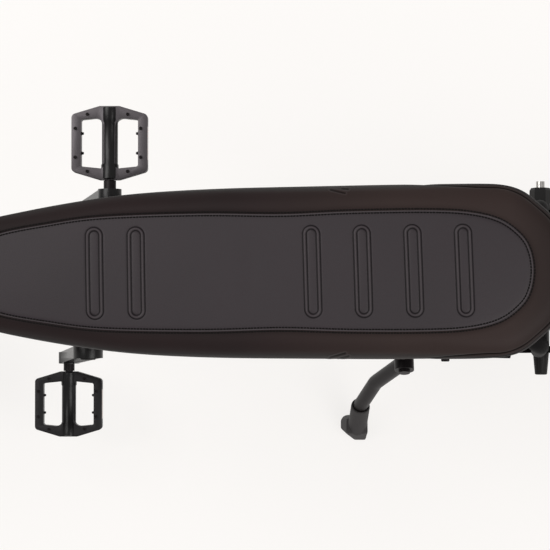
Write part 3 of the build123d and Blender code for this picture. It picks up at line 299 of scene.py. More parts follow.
# Matt embossed coated leather on the top. Its grain is drawn at 1.7 mm, coarse enough to show in the render.
FINISH["panel_leather"] = leatherette("grained_panel_leather", "#1b1519", "#221a1f", 0.6, 1.7, 0.16, 0.38, (
    # Painted shade in the grooves beside each bar and along the inner stitch row; a painted highlight on each
    # bar's crest and on the seam's lip.
    ("ridge_mm", 2.2, 1.3, 0.75, PAINTED_SHADE), ("ridge_mm", -2.2, 1.3, 0.75, PAINTED_SHADE),
    ("ridge_mm", 0.0, 1.1, 0.25, PAINTED_HIGHLIGHT), ("seam_mm", -2.1, 0.9, 0.35, PAINTED_SHADE),
    ("seam_mm", 0.3, 0.8, 0.45, PAINTED_HIGHLIGHT)))
# The same hide, smooth and browner, pulled over the sides. Painted light makes it paler towards the tail, and
# it turns darker again at the very end.
FINISH["border_leather"] = leatherette("smooth_border_leather", "#161010", "#201516", 0.56, 1.3, 0.05, 0.14, (
    # Painted shade along the seam's foot, the outer stitch row, the steep sides, the folds and the tucked
    # seam; a painted highlight on the seam's lip and beside the folds.
    ("seam_mm", 0.0, 9.0, 0.3, PAINTED_SHADE), ("seam_mm", 2.1, 1.0, 0.6, PAINTED_SHADE), ("seam_mm", 0.3, 0.8, 0.45, PAINTED_HIGHLIGHT),
    ("steep_share", 1.0, 0.8, 0.52, PAINTED_SHADE), ("fold_mm", 0.0, 1.5, 0.7, PAINTED_SHADE),
    ("fold_mm", 2.2, 0.9, 0.2, PAINTED_HIGHLIGHT), ("tuck_mm", 0.0, 1.3, 0.95, PAINTED_SHADE),
    ("tuck_mm", -3.4, 1.0, 0.7, PAINTED_SHADE)), (
    # Bands: painted light from 420 mm back towards the tail, darker again behind 110 mm, and a greyer strip
    # outside the tucked seam.
    ("ahead_mm", 420.0, 240.0, 0.85, "#2b211f"), ("ahead_mm", 110.0, 60.0, 0.8, "#1b1312"),
    ("tuck_mm", -1.0, -2.5, 0.6, "#2b2728")))


# Modelling by hand

def mode(name):
    bpy.ops.object.mode_set(mode=name)


def clear():
    if bpy.context.mode != "OBJECT":
        mode("OBJECT")
    bpy.ops.object.select_all(action="DESELECT")


def take(obj):
    clear()
    obj.select_set(True)
    bpy.context.view_layer.objects.active = obj
    return obj


def fit(obj, name, body, slot, finish, *stands_for, sharp_deg=38.0):
    """Puts a finished piece in the leaning bike: named, finished, riding on its body."""
    obj.name = obj.data.name = name
    obj.data.transform(PLACE @ obj.matrix_world)
    obj.matrix_world = Matrix.Identity(4)
    if finish:
        obj.data.materials.clear()
        obj.data.materials.append(FINISH[finish])
    take(obj)
    bpy.ops.object.shade_smooth_by_angle(angle=math.radians(sharp_deg))
    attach(obj, body)
    if stands_for:
        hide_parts(*stands_for)
    return obj


def drawn_ring(rows, sides, fill):
    """A circle about Z drawn out through (radius, height) rows in millimetres, left selected in edit mode."""
    clear()
    radius, height = rows[0]
    bpy.ops.mesh.primitive_circle_add(vertices=sides, radius=radius * MM, fill_type=fill,
                                      location=(0, 0, height * MM))
    obj = bpy.context.object
    bpy.ops.object.transform_apply(location=True)
    mode("EDIT")
    if fill == "NOTHING":
        bpy.ops.mesh.select_mode(type="EDGE")
    bpy.ops.mesh.select_all(action="SELECT")
    for wide, high in rows[1:]:
        bpy.ops.mesh.extrude_region_move(TRANSFORM_OT_translate={"value": (0, 0, (high - height) * MM)})
        grow = wide / radius
        bpy.ops.transform.resize(value=(grow, grow, 1), center_override=(0, 0, high * MM))
        radius, height = wide, high
    bpy.ops.mesh.select_mode(type="VERT")
    bpy.ops.mesh.select_all(action="SELECT")
    return obj


def turned(steps, sides=32):
    """A turned piece up the Z axis from (radius, height) rows in millimetres, closed at both ends."""
    obj = drawn_ring(steps, sides, "NGON")
    bpy.ops.mesh.normals_make_consistent(inside=False)
    mode("OBJECT")
    return obj


def modify(obj, kind, **settings):
    """Adds a modifier and applies it."""
    take(obj)
    modifier = obj.modifiers.new(kind.lower(), kind)
    for key, value in settings.items():
        setattr(modifier, key, value)
    bpy.ops.object.modifier_apply(modifier=modifier.name)
    return obj


def repeated(master, places):
    """Copies of one modelled piece, one to each place, as a single object; the master goes."""
    mesh = bmesh.new()
    for place in places:
        copy = master.data.copy()
        copy.transform(place)
        mesh.from_mesh(copy)
        bpy.data.meshes.remove(copy)
    whole = bpy.data.objects.new(master.name, bpy.data.meshes.new(master.name))
    mesh.to_mesh(whole.data)
    mesh.free()
    bpy.context.scene.collection.objects.link(whole)
    bpy.data.objects.remove(master)
    return whole


def facing(point, direction, spin_deg=0.0):
    """A place at a point with Z along a direction."""
    turn = Vector(direction).to_track_quat("Z", "Y").to_matrix().to_4x4()
    return Matrix.Translation(point) @ turn @ Matrix.Rotation(math.radians(spin_deg), 4, "Z")


def upright_copy(node):
    """A copy of a CAD node in the upright bike, its loose triangles merged to clean faces."""
    obj = bpy.data.objects.new(node, frame["nodes"][node].data.copy())
    bpy.context.scene.collection.objects.link(obj)
    obj.data.transform(UPRIGHT)
    take(obj)
    mode("EDIT")
    bpy.ops.mesh.select_all(action="SELECT")
    bpy.ops.mesh.remove_doubles(threshold=0.02 * MM)
    bpy.ops.mesh.dissolve_limited(angle_limit=math.radians(0.6))
    mode("OBJECT")
    return obj


def rounded(obj, width_mm, segments=2):
    """Rounds sharp edges over, as a casting or a moulding has them."""
    return modify(obj, "BEVEL", width=width_mm * MM, segments=segments, limit_method="ANGLE",
                  angle_limit=math.radians(40))


# Bench seat

# The sewn line round the top panel: distance ahead of the rear axle, and half width.
SEAM = ((85.5, 0.0), (89.0, 22.0), (99.0, 39.0), (122.0, 56.0), (156.0, 65.0), (205.0, 68.0), (292.0, 67.5),
        (371.0, 65.0), (462.0, 66.6), (575.0, 63.8), (640.0, 55.5), (688.0, 46.5), (716.0, 35.0),
        (730.0, 18.0), (734.0, 0.0))
# Pressed bars: distance ahead, and how far each leans from square, in degrees.
BARS = ((582.0, 0.5), (534.6, 0.5), (334.9, 1.2), (277.8, 1.3), (220.5, 1.6), (163.4, 1.7))
BAR_HALF_W, BAR_HALF_L, BAR_RIDGE = 7.6, 50.2, 1.95
# Slack folds at the lower edge, (ahead, left) at both ends, and the stretch that they lie in.
FOLDS_X, FOLDS_REACH = 305.0, 24.0
FOLDS = (((315, 97.5), (298, 92.5)), ((303, 98.5), (294, 96)), ((313, -93), (297, -89)),
         ((300, -94.5), (293, -93.5)))
PANEL_LONG, PANEL_WIDE = 160, 34
STITCH_PITCH, STITCH_ROW = 3.5, 2.1
# The cover starts this far inside the cushion and may swell this far; FAR_OFF stands for no line near.
COVER_INSET, SWELL_CAP, FAR_OFF = 3.0, 6.5, 60.0
ABOVE_SEAT, SEAT_SIDE_Z = 900.0, 752.0
COVER_LOW = 727.6
SEAT_MID_X = 330.0
SEAT_SHOULDER = 24.0
# How much fuller than the CAD cushion the cover stands, by distance ahead of the rear axle.
FULLNESS = ((60.0, 2.0), (94.0, 3.2), (106.0, 3.0), (123.0, 1.0), (145.0, 0.0), (168.0, -1.6), (202.0, -2.6),
            (303.0, -3.3), (337.0, -3.0), (371.0, -2.3), (405.0, -1.7), (439.0, -0.8), (473.0, 0.2),
            (507.0, 1.0), (541.0, 1.3), (620.0, 2.3), (642.0, 2.4), (682.0, 1.6))
SEAT_YAW_DEG, SEAT_YAW_X = 0.39, 650.0    # the cover sits a touch askew, its tail to the right


def run_lengths(points):
    """How far along a run each of its points lies."""
    lengths = [0.0]
    for p, q in zip(points, points[1:]):
        lengths.append(lengths[-1] + (q - p).length)
    return lengths


def equal_steps(points, count):
    """A run of points cut into equal steps, both ends included."""
    lengths = run_lengths(points)
    run, at = [], 0
    for k in range(count + 1):
        want = lengths[-1] * k / count
        while at < len(lengths) - 2 and lengths[at + 1] < want:
            at += 1
        span = lengths[at + 1] - lengths[at]
        run.append(points[at].lerp(points[at + 1], (want - lengths[at]) / span if span else 0))
    return run


def smooth_run(points, count):
    """A smooth line through the points, cut into equal steps."""
    dense = []
    padded = [points[0], *points, points[-1]]
    for a, b, c, d in zip(padded, padded[1:], padded[2:], padded[3:]):
        for k in range(24):
            t = k / 24
            bend = (2 * a - 5 * b + 4 * c - d) * t * t + (3 * b - a - 3 * c + d) * t ** 3
            dense.append(0.5 * (2 * b + (c - a) * t + bend))
    dense.append(points[-1])
    return equal_steps(dense, count)


def seam_loop(count):
    """The sewn line round the top panel, from the tail round the left side, in millimetres."""
    left = [Vector(p) for p in SEAM]
    right = [Vector((x, -y)) for x, y in reversed(SEAM)]
    half = smooth_run([right[-2], *left, right[1]], 4000)
    first = min(range(2000), key=lambda k: (half[k] - left[0]).length)
    last = min(range(2000, 4001), key=lambda k: (half[k] - left[-1]).length)
    side = smooth_run(half[first:last + 1], count // 2)
    return side + [Vector((p.x, -p.y)) for p in reversed(side[1:-1])]


def fullness(x):
    rows = FULLNESS
    if x <= rows[0][0]:
        return rows[0][1]
    for (xa, a), (xb, b) in zip(rows, rows[1:]):
        if x <= xb:
            return a + (b - a) * (x - xa) / (xb - xa)
    return rows[-1][1]


def seat_solid():
    """The CAD cushion in the upright bike, for finding its surface."""
    node = frame["nodes"]["seat_cushion"].data
    points = [UPRIGHT @ v.co for v in node.vertices]
    return BVHTree.FromPolygons(points, [tuple(p.vertices) for p in node.polygons])


def panel_grid(loop):
    """Rows of plan points filling the seam loop, blended from its four sides."""
    total = len(loop)
    corner = round(PANEL_WIDE / 2)
    left = loop[corner:corner + PANEL_LONG + 1]
    nose = [loop[(corner + PANEL_LONG + k) % total] for k in range(PANEL_WIDE + 1)]
    right = [loop[(corner + PANEL_LONG + PANEL_WIDE + PANEL_LONG - k) % total] for k in range(PANEL_LONG + 1)]
    tail = [loop[(corner - k) % total] for k in range(PANEL_WIDE + 1)]
    rows = []
    for i in range(PANEL_LONG + 1):
        s = i / PANEL_LONG
        row = []
        for j in range(PANEL_WIDE + 1):
            t = j / PANEL_WIDE
            sides = left[i] * (1 - t) + right[i] * t + tail[j] * (1 - s) + nose[j] * s
            corners = (left[0] * (1 - s) * (1 - t) + left[-1] * s * (1 - t)
                       + right[0] * (1 - s) * t + right[-1] * s * t)
            row.append(sides - corners)
        rows.append(row)
    return rows


def cover_start():
    """The cover before it is stuffed: top panel, border and sides in one mesh just inside the CAD cushion."""
    solid = seat_solid()
    loop = seam_loop(2 * (PANEL_LONG + PANEL_WIDE))
    rows = panel_grid(loop)
    points, faces = [], []

    def top_at(p):
        hit = solid.ray_cast(mm(p.x, p.y, ABOVE_SEAT), Vector((0, 0, -1)))[0]
        return Vector((p.x, p.y, hit.z / MM - COVER_INSET))

    for row in rows:
        points += [top_at(p) for p in row]
    wide = PANEL_WIDE + 1
    for i in range(PANEL_LONG):
        for j in range(PANEL_WIDE):
            a = i * wide + j
            faces.append((a, a + wide, a + wide + 1, a + 1))
    panel_faces = len(faces)
    ring = ([i * wide for i in range(PANEL_LONG + 1)] + [PANEL_LONG * wide + j for j in range(1, wide)]
            + [i * wide + PANEL_WIDE for i in range(PANEL_LONG - 1, -1, -1)]
            + list(range(PANEL_WIDE - 1, 0, -1)))
    seam_points = list(ring)
    base = [points[k].copy() for k in ring]
    count = len(ring)
    spread = []
    for k, p in enumerate(base):
        along = base[(k + 1) % count] - base[k - 1]
        out = Vector((along.y, -along.x, 0)).normalized()
        if out.dot(Vector((p.x - SEAT_MID_X, p.y * 6, 0))) < 0:
            out.negate()
        hit = solid.ray_cast(mm(p.x, p.y, SEAT_SIDE_Z), out)[0]
        reach = (Vector((hit.x, hit.y)) / MM - Vector((p.x, p.y))).length
        spread.append((out, reach - COVER_INSET + fullness(p.x + out.x * 20)))
    over = (0.2, 0.42, 0.64, 0.83, 0.96)
    down = (0.08, 0.2, 0.36, 0.55, 0.76, 0.93, 1.0)
    rings = []
    for share in over:
        loop_points = []
        for p, (out, reach) in zip(base, spread):
            q = p + out * reach * share
            hit = solid.ray_cast(mm(q.x, q.y, ABOVE_SEAT), Vector((0, 0, -1)))[0]
            q.z = hit.z / MM - COVER_INSET if hit else p.z - SEAT_SHOULDER
            loop_points.append(q)
        rings.append(loop_points)
    for share in down:
        loop_points = []
        for p, (out, reach), shoulder in zip(base, spread, rings[len(over) - 1]):
            q = p + out * reach
            q.z = shoulder.z + (COVER_LOW - shoulder.z) * share
            loop_points.append(q)
        rings.append(loop_points)
    previous = ring
    for loop_points in rings:
        current = list(range(len(points), len(points) + count))
        points += loop_points
        for k in range(count):
            n = (k + 1) % count
            faces.append((previous[k], current[k], current[n], previous[n]))
        previous = current
    return points, faces, panel_faces, seam_points, previous


def stuffed(obj, held):
    """Blows the cover up like a stuffed pad, held at its seam and lower edge."""
    group = obj.vertex_groups.new(name="held")
    for weight, indices in held:
        group.add(indices, weight, "REPLACE")
    rest = [v.co.copy() for v in obj.data.vertices]
    cloth = obj.modifiers.new("cloth", "CLOTH")
    cloth.settings.vertex_group_mass = "held"
    cloth.settings.use_pressure = True
    cloth.settings.uniform_pressure_force = 4.0
    cloth.settings.effector_weights.gravity = 0.0
    cloth.settings.tension_stiffness = 25.0
    cloth.settings.compression_stiffness = 25.0
    cloth.settings.bending_stiffness = 2.0
    cloth.point_cache.frame_start, cloth.point_cache.frame_end = 1, 20
    scene = bpy.context.scene
    for number in range(1, 21):
        scene.frame_set(number)
    swollen = obj.evaluated_get(bpy.context.evaluated_depsgraph_get()).data
    cap = SWELL_CAP * MM
    for vertex, start, end in zip(obj.data.vertices, rest, [v.co.copy() for v in swollen.vertices]):
        move = end - start
        vertex.co = start + (move * (cap / move.length) if move.length > cap else move)
    obj.modifiers.remove(cloth)
    scene.frame_set(1)


def close_underside(cover):
    """Fills the flat underside, where the cover is stapled to the seat base."""
    take(cover)
    mode("EDIT")
    bpy.ops.mesh.select_mode(type="EDGE")
    bpy.ops.mesh.select_all(action="DESELECT")
    bpy.ops.mesh.select_non_manifold()
    bpy.ops.mesh.edge_face_add()
    bpy.ops.mesh.select_mode(type="VERT")
    mode("OBJECT")


def bar_distance(x, y):
    """Millimetres from the nearest pressed bar's ridge, minus inside it."""
    best = FAR_OFF
    for bar_x, lean_deg in BARS:
        past = max(abs(y) - (BAR_HALF_L - BAR_HALF_W), 0.0)
        best = min(best, math.hypot(x - bar_x + y * math.tan(math.radians(lean_deg)), past) - BAR_HALF_W)
    return best


def fold_distance(x, y):
    """Millimetres from the nearest slack fold, seen from above."""
    best = FAR_OFF
    if abs(x - FOLDS_X) > FOLDS_REACH:
        return best
    for start, end in FOLDS:
        a, b, at = Vector(start), Vector(end), Vector((x, y))
        share = min(max((at - a).dot(b - a) / (b - a).length_squared, 0.0), 1.0)
        best = min(best, (at - a.lerp(b, share)).length)
    return best


def bump_of(d, half):
    return max(0.0, 1.0 - (d / half) ** 2)


def seat_cover():
    """The padded leather cover: stuffed, then its seam pulled in and the bars pressed up."""
    points, faces, panel_faces, seam_points, hem = cover_start()
    mesh = bpy.data.meshes.new("seat_cover")
    mesh.from_pydata([p * MM for p in points], [], faces)
    cover = bpy.data.objects.new("seat_cover", mesh)
    bpy.context.scene.collection.objects.link(cover)
    mesh.materials.append(FINISH["panel_leather"])
    mesh.materials.append(FINISH["border_leather"])
    for k, face in enumerate(mesh.polygons):
        face.material_index = 0 if k < panel_faces else 1
    take(cover)
    mode("EDIT")
    bpy.ops.mesh.select_all(action="SELECT")
    bpy.ops.mesh.normals_make_consistent(inside=False)
    mode("OBJECT")
    stuffed(cover, [(0.75, seam_points), (1.0, hem)])
    modify(cover, "SUBSURF", levels=2, render_levels=2)
    close_underside(cover)

    loop = seam_loop(3000)
    tree = KDTree(len(loop))
    for k, p in enumerate(loop):
        tree.insert((p.x, p.y, 0), k)
    tree.balance()
    outline = seat_solid()
    mesh = cover.data
    marks = {"seam_mm": [], "ridge_mm": [], "tuck_mm": [], "fold_mm": [], "ahead_mm": [], "steep_share": []}
    skin = [(v.co.copy(), v.normal.copy()) for v in mesh.vertices]
    raised = []
    for point, normal in skin:
        x, y, z = point / MM
        near, k, away = tree.find((x, y, 0))
        along = loop[(k + 1) % len(loop)] - loop[k - 1]
        outside = Vector((along.y, -along.x)).normalized().dot(Vector((x - near.x, y - near.y)))
        seam = away if z < 780 else math.copysign(away, outside)
        ridge = bar_distance(x, y) if z > 770 and normal.z > 0.5 else FAR_OFF
        tuck = tuck_distance(x, y, z, outline)
        lift = -1.0 * math.exp(-(seam / 3.4) ** 2) - 0.4 * math.exp(-(seam / 0.9) ** 2)
        lift += 1.5 * bump_of(ridge, BAR_RIDGE) - 0.5 * bump_of(abs(ridge) - BAR_RIDGE - 0.5, 1.2)
        if ridge < -BAR_RIDGE:
            lift += 0.4 * bump_of(ridge + BAR_HALF_W, BAR_HALF_W - BAR_RIDGE)
        lift -= 1.0 * math.exp(-(tuck / 1.1) ** 2)
        fold = fold_distance(x, y)
        lift += 0.25 * math.exp(-((fold - 2.2) / 1.0) ** 2) - 0.5 * math.exp(-(fold / 1.1) ** 2)
        # How steep the cover is here; the border leather paints shade on the steep sides by it.
        steep = min(max((0.75 - normal.z) / 0.45, 0.0), 1.0)
        for name, value in zip(marks, (seam, ridge, tuck, fold, x, steep)):
            marks[name].append(value)
        raised.extend(point + normal * lift * MM)
    mesh.vertices.foreach_set("co", raised)
    mesh.update()
    for name, values in marks.items():
        mesh.attributes.new(name, "FLOAT", "POINT").data.foreach_set("value", values)
    return cover


TUCK_FROM, TUCK_FULL, TUCK_IN, TUCK_PIVOT, TUCK_LOW = 250.0, 131.0, 6.5, 130.0, 760.0


def tuck_distance(x, y, z, outline):
    """Millimetres from the tucked seam that runs round the rear, just inside the outer edge."""
    out = Vector((min(x - TUCK_PIVOT, 0.0), y, 0))
    if x > TUCK_FROM or z < TUCK_LOW or out.length < 1:
        return FAR_OFF
    start = max(x, TUCK_PIVOT)
    hit = outline.ray_cast(mm(start, 0, SEAT_SIDE_Z), out.normalized())[0]
    if hit is None:
        return FAR_OFF
    edge = (Vector((hit.x, hit.y)) / MM - Vector((start, 0))).length
    drawn = min((TUCK_FROM - x) / (TUCK_FROM - TUCK_FULL), 1.0)
    return edge - out.length - TUCK_IN * drawn * drawn * (3 - 2 * drawn) + 2.0 * (1 - drawn)


def seat_stitches(cover):
    """Two rows of small dark stitches, one each side of the seam, lying on the cover."""
    bpy.context.view_layer.update()
    skin = BVHTree.FromObject(cover, bpy.context.evaluated_depsgraph_get())
    bead = turned([(0.3, -1.5), (0.85, -0.9), (0.85, 0.9), (0.3, 1.5)], 6)
    bead.data.transform(Matrix.Diagonal((1, 1, 0.6, 1)) @ Matrix.Rotation(math.radians(90), 4, "Y"))
    loop = seam_loop(4000)
    length = sum((loop[k] - loop[k - 1]).length for k in range(len(loop)))
    places = []
    count = int(length / STITCH_PITCH)
    for n in range(count):
        k = int(n * len(loop) / count)
        along = (loop[(k + 3) % len(loop)] - loop[k - 3]).normalized()
        out = Vector((along.y, -along.x))
        for side in SIDES:
            p = loop[k] + out * (STITCH_ROW * side)
            hit, normal = skin.ray_cast(mm(p.x, p.y, ABOVE_SEAT), Vector((0, 0, -1)))[:2]
            if hit is None:
                continue
            run = Vector((along.x, along.y, 0))
            run = (run - normal * run.dot(normal)).normalized()
            places.append(stood(hit + normal * 0.25 * MM, run, normal))
    return repeated(bead, places)


def make_seat():
    cover = seat_cover()
    stitches = seat_stitches(cover)
    pivot = Matrix.Translation(mm(SEAT_YAW_X, 0, 0))
    askew = pivot @ Matrix.Rotation(math.radians(SEAT_YAW_DEG), 4, "Z") @ pivot.inverted()
    for obj in (cover, stitches):
        obj.data.transform(askew)
    fit(cover, "seat_cover", "frame", "seat_leather", None, "seat_cushion", sharp_deg=75.0)
    fit(stitches, "seat_stitching", "frame", "seat_leather", "nylon_thread", sharp_deg=60.0)


# Shared ways to model the hardware, in the upright bike

FRONT_AT, REAR_AT, BB_AT = Vector((1190, 0, 290)), Vector((0, 0, 290)), Vector((640, 0, 310))
WHEELS = (("front", FRONT_AT), ("rear", REAR_AT))
HEAD = math.radians(68.0)
AHEAD, UP_STEERER = Vector((math.sin(HEAD), 0, math.cos(HEAD))), Vector((-math.cos(HEAD), 0, math.sin(HEAD)))
ACROSS = Vector((0, 1, 0))
FORK_AT = FRONT_AT - AHEAD * 45.0


def in_fork(x, y, z):
    """A point of the fork's own frame, in the upright bike."""
    return FORK_AT + AHEAD * x + ACROSS * y + UP_STEERER * z


def round_about(centre, radius, degrees, y=0.0):
    """A point on a circle in the bike's middle plane, counted from forward towards up."""
    a = math.radians(degrees)
    return Vector((centre.x + radius * math.cos(a), y, centre.z + radius * math.sin(a)))


def put(obj, point, direction, spin_deg=0.0):
    obj.data.transform(facing(Vector(point) * MM, direction, spin_deg))
    return obj


def joined(*objects):
    take(objects[0])
    for obj in objects[1:]:
        obj.select_set(True)
    bpy.ops.object.join()
    return bpy.context.object


def hoop(rows, sides=96):
    """A ring turned about Z from a closed run of (radius, height) rows in millimetres."""
    obj = drawn_ring([*rows, rows[0]], sides, "NOTHING")
    bpy.ops.mesh.remove_doubles(threshold=0.005 * MM)
    bpy.ops.mesh.normals_make_consistent(inside=False)
    mode("OBJECT")
    return obj


def block(long, wide, high, top, round_mm):
    """A box standing on Z = 0, its top drawn in and its edges rounded."""
    clear()
    bpy.ops.mesh.primitive_cube_add(size=1.0)
    obj = bpy.context.object
    obj.scale = mm(long, wide, high)
    obj.location = mm(0, 0, high / 2)
    bpy.ops.object.transform_apply(location=True, scale=True)
    pick(obj, lambda face: face.normal.z > 0.9)
    bpy.ops.transform.resize(value=(top, top, 1), center_override=mm(0, 0, high))
    mode("OBJECT")
    return modify(obj, "BEVEL", width=round_mm * MM, segments=1)


def pick(obj, wanted, kind="FACE"):
    """Selects the faces, or the points, that pass a test and leaves the object in edit mode."""
    take(obj)
    mode("EDIT")
    bpy.ops.mesh.select_mode(type=kind)
    bpy.ops.mesh.select_all(action="DESELECT")
    mode("OBJECT")
    for part in obj.data.polygons if kind == "FACE" else obj.data.vertices:
        part.select = wanted(part)
    mode("EDIT")


def screw(head_r, head_h):
    """A bolt head on Z = 0: domed, with a socket for a key."""
    return turned([(head_r, -0.6), (head_r, head_h * 0.55), (head_r * 0.8, head_h), (head_r * 0.5, head_h),
                   (head_r * 0.45, head_h * 0.4)], 16)


# Wheels

KNOB_ROWS = (            # degrees round the tyre's section, long, wide, offset in pitches
    (8.5, 23.0, 12.0, 0.0), (-8.5, 23.0, 12.0, 0.5), (27.0, 19.0, 14.0, 0.25), (-27.0, 19.0, 14.0, 0.75),
    (47.0, 21.0, 13.0, 0.5), (-47.0, 21.0, 13.0, 0.0))
KNOBS, KNOB_H = 54, 4.6
TYRE_MID, TYRE_SECTION = 240.0, 45.6


def tyre_carcass():
    """Casing with two raised lines on each side wall, open to the rim."""
    rows = []
    for k in range(33):
        a = math.radians(-131 + 262 * k / 32)
        rib = 1.1 if k in (6, 9, 23, 26) else 0.0
        rows.append((TYRE_MID + (TYRE_SECTION + rib) * math.cos(a), (TYRE_SECTION + rib) * math.sin(a)))
    for k in range(9):
        a = math.radians(131 - 262 * k / 8)
        rows.append((TYRE_MID + (TYRE_SECTION - 5) * math.cos(a), (TYRE_SECTION - 5) * math.sin(a)))
    return hoop(rows, 108)


def tread():
    """Rows of moulded knobs that reach the tyre's full size."""
    rows = []
    for section_deg, long, wide, shift in KNOB_ROWS:
        knob = block(long, wide, KNOB_H, 0.86, 1.0)
        places = []
        lean = math.radians(section_deg)
        for k in range(KNOBS):
            a = 2 * math.pi * (k + shift) / KNOBS
            out = Vector((math.cos(a), math.sin(a), 0))
            run = Vector((-math.sin(a), math.cos(a), 0))
            normal = out * math.cos(lean) + Vector((0, 0, math.sin(lean)))
            at = out * TYRE_MID + normal * (TYRE_SECTION - 0.3)
            places.append(stood(at * MM, run, normal))
        rows.append(repeated(knob, places))
    return joined(*rows)


SPOKE_RIM_R, SPOKE_RIM_Y = 197.7, 10.0


def spoke_ends(hub_r, flange_y, lead_deg):
    """Where each spoke meets the rim, and the way it leaves it."""
    faces = {1: 5.55, -1: -3.45}
    for k in range(36):
        side, lead = SIDES[k % 2], SIDES[(k // 2) % 2]
        rim_end = round_about(Vector(), SPOKE_RIM_R, 10 * k, side * SPOKE_RIM_Y)
        hub_end = round_about(Vector(), hub_r, 10 * k + lead * lead_deg, side * (flange_y + faces[lead]))
        yield rim_end, hub_end - rim_end


SPOKES = {"front": (27.0, 36.0, 50.0), "rear": (97.0, 36.0, 15.0)}    # hub radius, flange, lead in degrees
ROTOR_BOLTS = {"front": (59.0, 19.5), "rear": (68.0, 22.0)}    # out from the middle, radius
MOTOR_BOLT_R, MOTOR_FACE_Y = 72.5, 38.0
RIM_INSIDE_R, VALVE_DEG = 198.0, 95


def make_wheels():
    for name, hub in WHEELS:
        body = name + "_wheel"
        fit(put(tyre_carcass(), hub, ACROSS), name + "_tyre_casing", body, "tyre_rubber", "tyre_rubber",
            name + "_tyre", sharp_deg=50)
        fit(put(tread(), hub, ACROSS), name + "_tyre_tread", body, "tyre_rubber", "tyre_rubber", sharp_deg=30)
        nipple = turned([(2.9, -0.3), (2.9, 7.5), (2.0, 9.0), (2.0, 12.0)], 8)
        places = [facing((hub + at) * MM, way) for at, way in spoke_ends(*SPOKES[name])]
        fit(repeated(nipple, places), name + "_spoke_nipples", body, "bright_steel", "zinc")
        stem = turned([(7.0, -0.3), (7.0, 2.5), (4.2, 3.4), (4.2, 24.0), (5.0, 24.6), (5.0, 33.0),
                       (3.6, 35.0)], 16)
        put(stem, round_about(hub, RIM_INSIDE_R, VALVE_DEG), round_about(Vector(), -1, VALVE_DEG))
        fit(stem, name + "_valve", body, "grip_rubber", "moulded_abs")
        rotor_y, bolt_r = ROTOR_BOLTS[name]
        places = [facing(round_about(hub, bolt_r, 60 * k + 30, rotor_y) * MM, ACROSS) for k in range(6)]
        fit(repeated(screw(4.3, 2.6), places), name + "_rotor_bolts", body, "black_steel", "black_steel")
    places = [facing(round_about(REAR_AT, MOTOR_BOLT_R, 36 * k, side * MOTOR_FACE_Y) * MM, ACROSS * side)
              for side in SIDES for k in range(10)]
    fit(repeated(screw(3.9, 2.6), places), "hub_motor_bolts", "rear_wheel", "black_steel", "black_steel")


# Drive

RING_R, COG_R, JOCKEY_R, PITCH, CHAIN_SIDE = 89.02, 36.57, 22.54, 12.7, -76.8
STATIONS = ((BB_AT, RING_R, 1), (REAR_AT, COG_R, 1), (REAR_AT + Vector((14, 0, -66)), JOCKEY_R, -1),
            (REAR_AT + Vector((34, 0, -128)), JOCKEY_R, 1))


def chain_line():
    """Closely spaced points round the chain's path, through its four stations."""
    runs = []
    for (ca, ra, sa), (cb, rb, sb) in zip(STATIONS, STATIONS[1:] + STATIONS[:1]):
        d, k = cb - ca, sb * rb - sa * ra
        angle = math.atan2(d.z, d.x) - math.atan2(k, math.sqrt(d.x ** 2 + d.z ** 2 - k ** 2))
        left = Vector((-math.sin(angle), 0, math.cos(angle)))
        runs.append((ca - left * sa * ra, cb - left * sb * rb))
    points = []
    for k, (start, end) in enumerate(runs):
        points += [start.lerp(end, t / 200) for t in range(200)]
        centre, radius, sense = STATIONS[(k + 1) % 4]
        leave = runs[(k + 1) % 4][0]
        a0, a1 = (math.atan2(p.z - centre.z, p.x - centre.x) for p in (end, leave))
        swing = (a1 - a0) * sense % (2 * math.pi)
        turns = [math.degrees(a0 + sense * swing * t / 120) for t in range(120)]
        points += [round_about(centre, radius, degrees) for degrees in turns]
    return points


def chain_plate(high, y, thick):
    """A link plate along X, one pitch between its pins: round ends, drawn in at the waist."""
    plate = turned([(high / 2, -thick / 2), (high / 2, thick / 2)], 12)
    for side in SIDES:
        pick(plate, lambda point: point.co.x * side > 0.1 * MM, "VERT")
        bpy.ops.transform.translate(value=(side * PITCH / 2 * MM, 0, 0))
    pick(plate, lambda point: abs(point.co.x) < 0.1 * MM, "VERT")
    bpy.ops.transform.resize(value=(1, 0.78, 1), center_override=(0, 0, 0))
    mode("OBJECT")
    plate.data.transform(Matrix.Translation((0, y * MM, 0)) @ Matrix.Rotation(math.radians(90), 4, "X"))
    return plate


LINKS = (    # plates out from the middle, first link, rows of the pin or roller, its sides
    (3.1, 0, [(1.5, -3.9), (1.7, -3.7), (1.7, 3.7), (1.5, 3.9)], 8),
    (1.9, 1, [(3.5, -1.4), (3.8, -1.2), (3.8, 1.2), (3.5, 1.4)], 10))


def make_chain():
    """Outer links with their pins and inner links with their rollers, in turn round the chain's path."""
    path = chain_line()
    path.append(path[0])
    steps = equal_steps(path, 2 * round(run_lengths(path)[-1] / PITCH / 2))[:-1]
    runs = []
    for spread, first, pin_rows, pin_sides in LINKS:
        pieces = [chain_plate(8.2, side * spread, 1.0) for side in SIDES]
        for x in (-PITCH / 2, PITCH / 2):
            pin = turned(pin_rows, pin_sides)
            pin.data.transform(Matrix.Translation(mm(x, 0, 0)) @ Matrix.Rotation(math.radians(90), 4, "X"))
            pieces.append(pin)
        places = []
        for n in range(first, len(steps), 2):
            a, b = steps[n], steps[(n + 1) % len(steps)]
            run = (b - a).normalized()
            places.append(stood(((a + b) / 2 + ACROSS * CHAIN_SIDE) * MM, run, run.cross(ACROSS)))
        runs.append(repeated(joined(*pieces), places))
    fit(joined(*runs), "roller_chain", "frame", "chain_steel", "chain_steel", "chain", sharp_deg=30)


CRANK_FACE_Y, RING_BOLT_R, RING_FACE_Y = 107.1, 67.0, -86.3


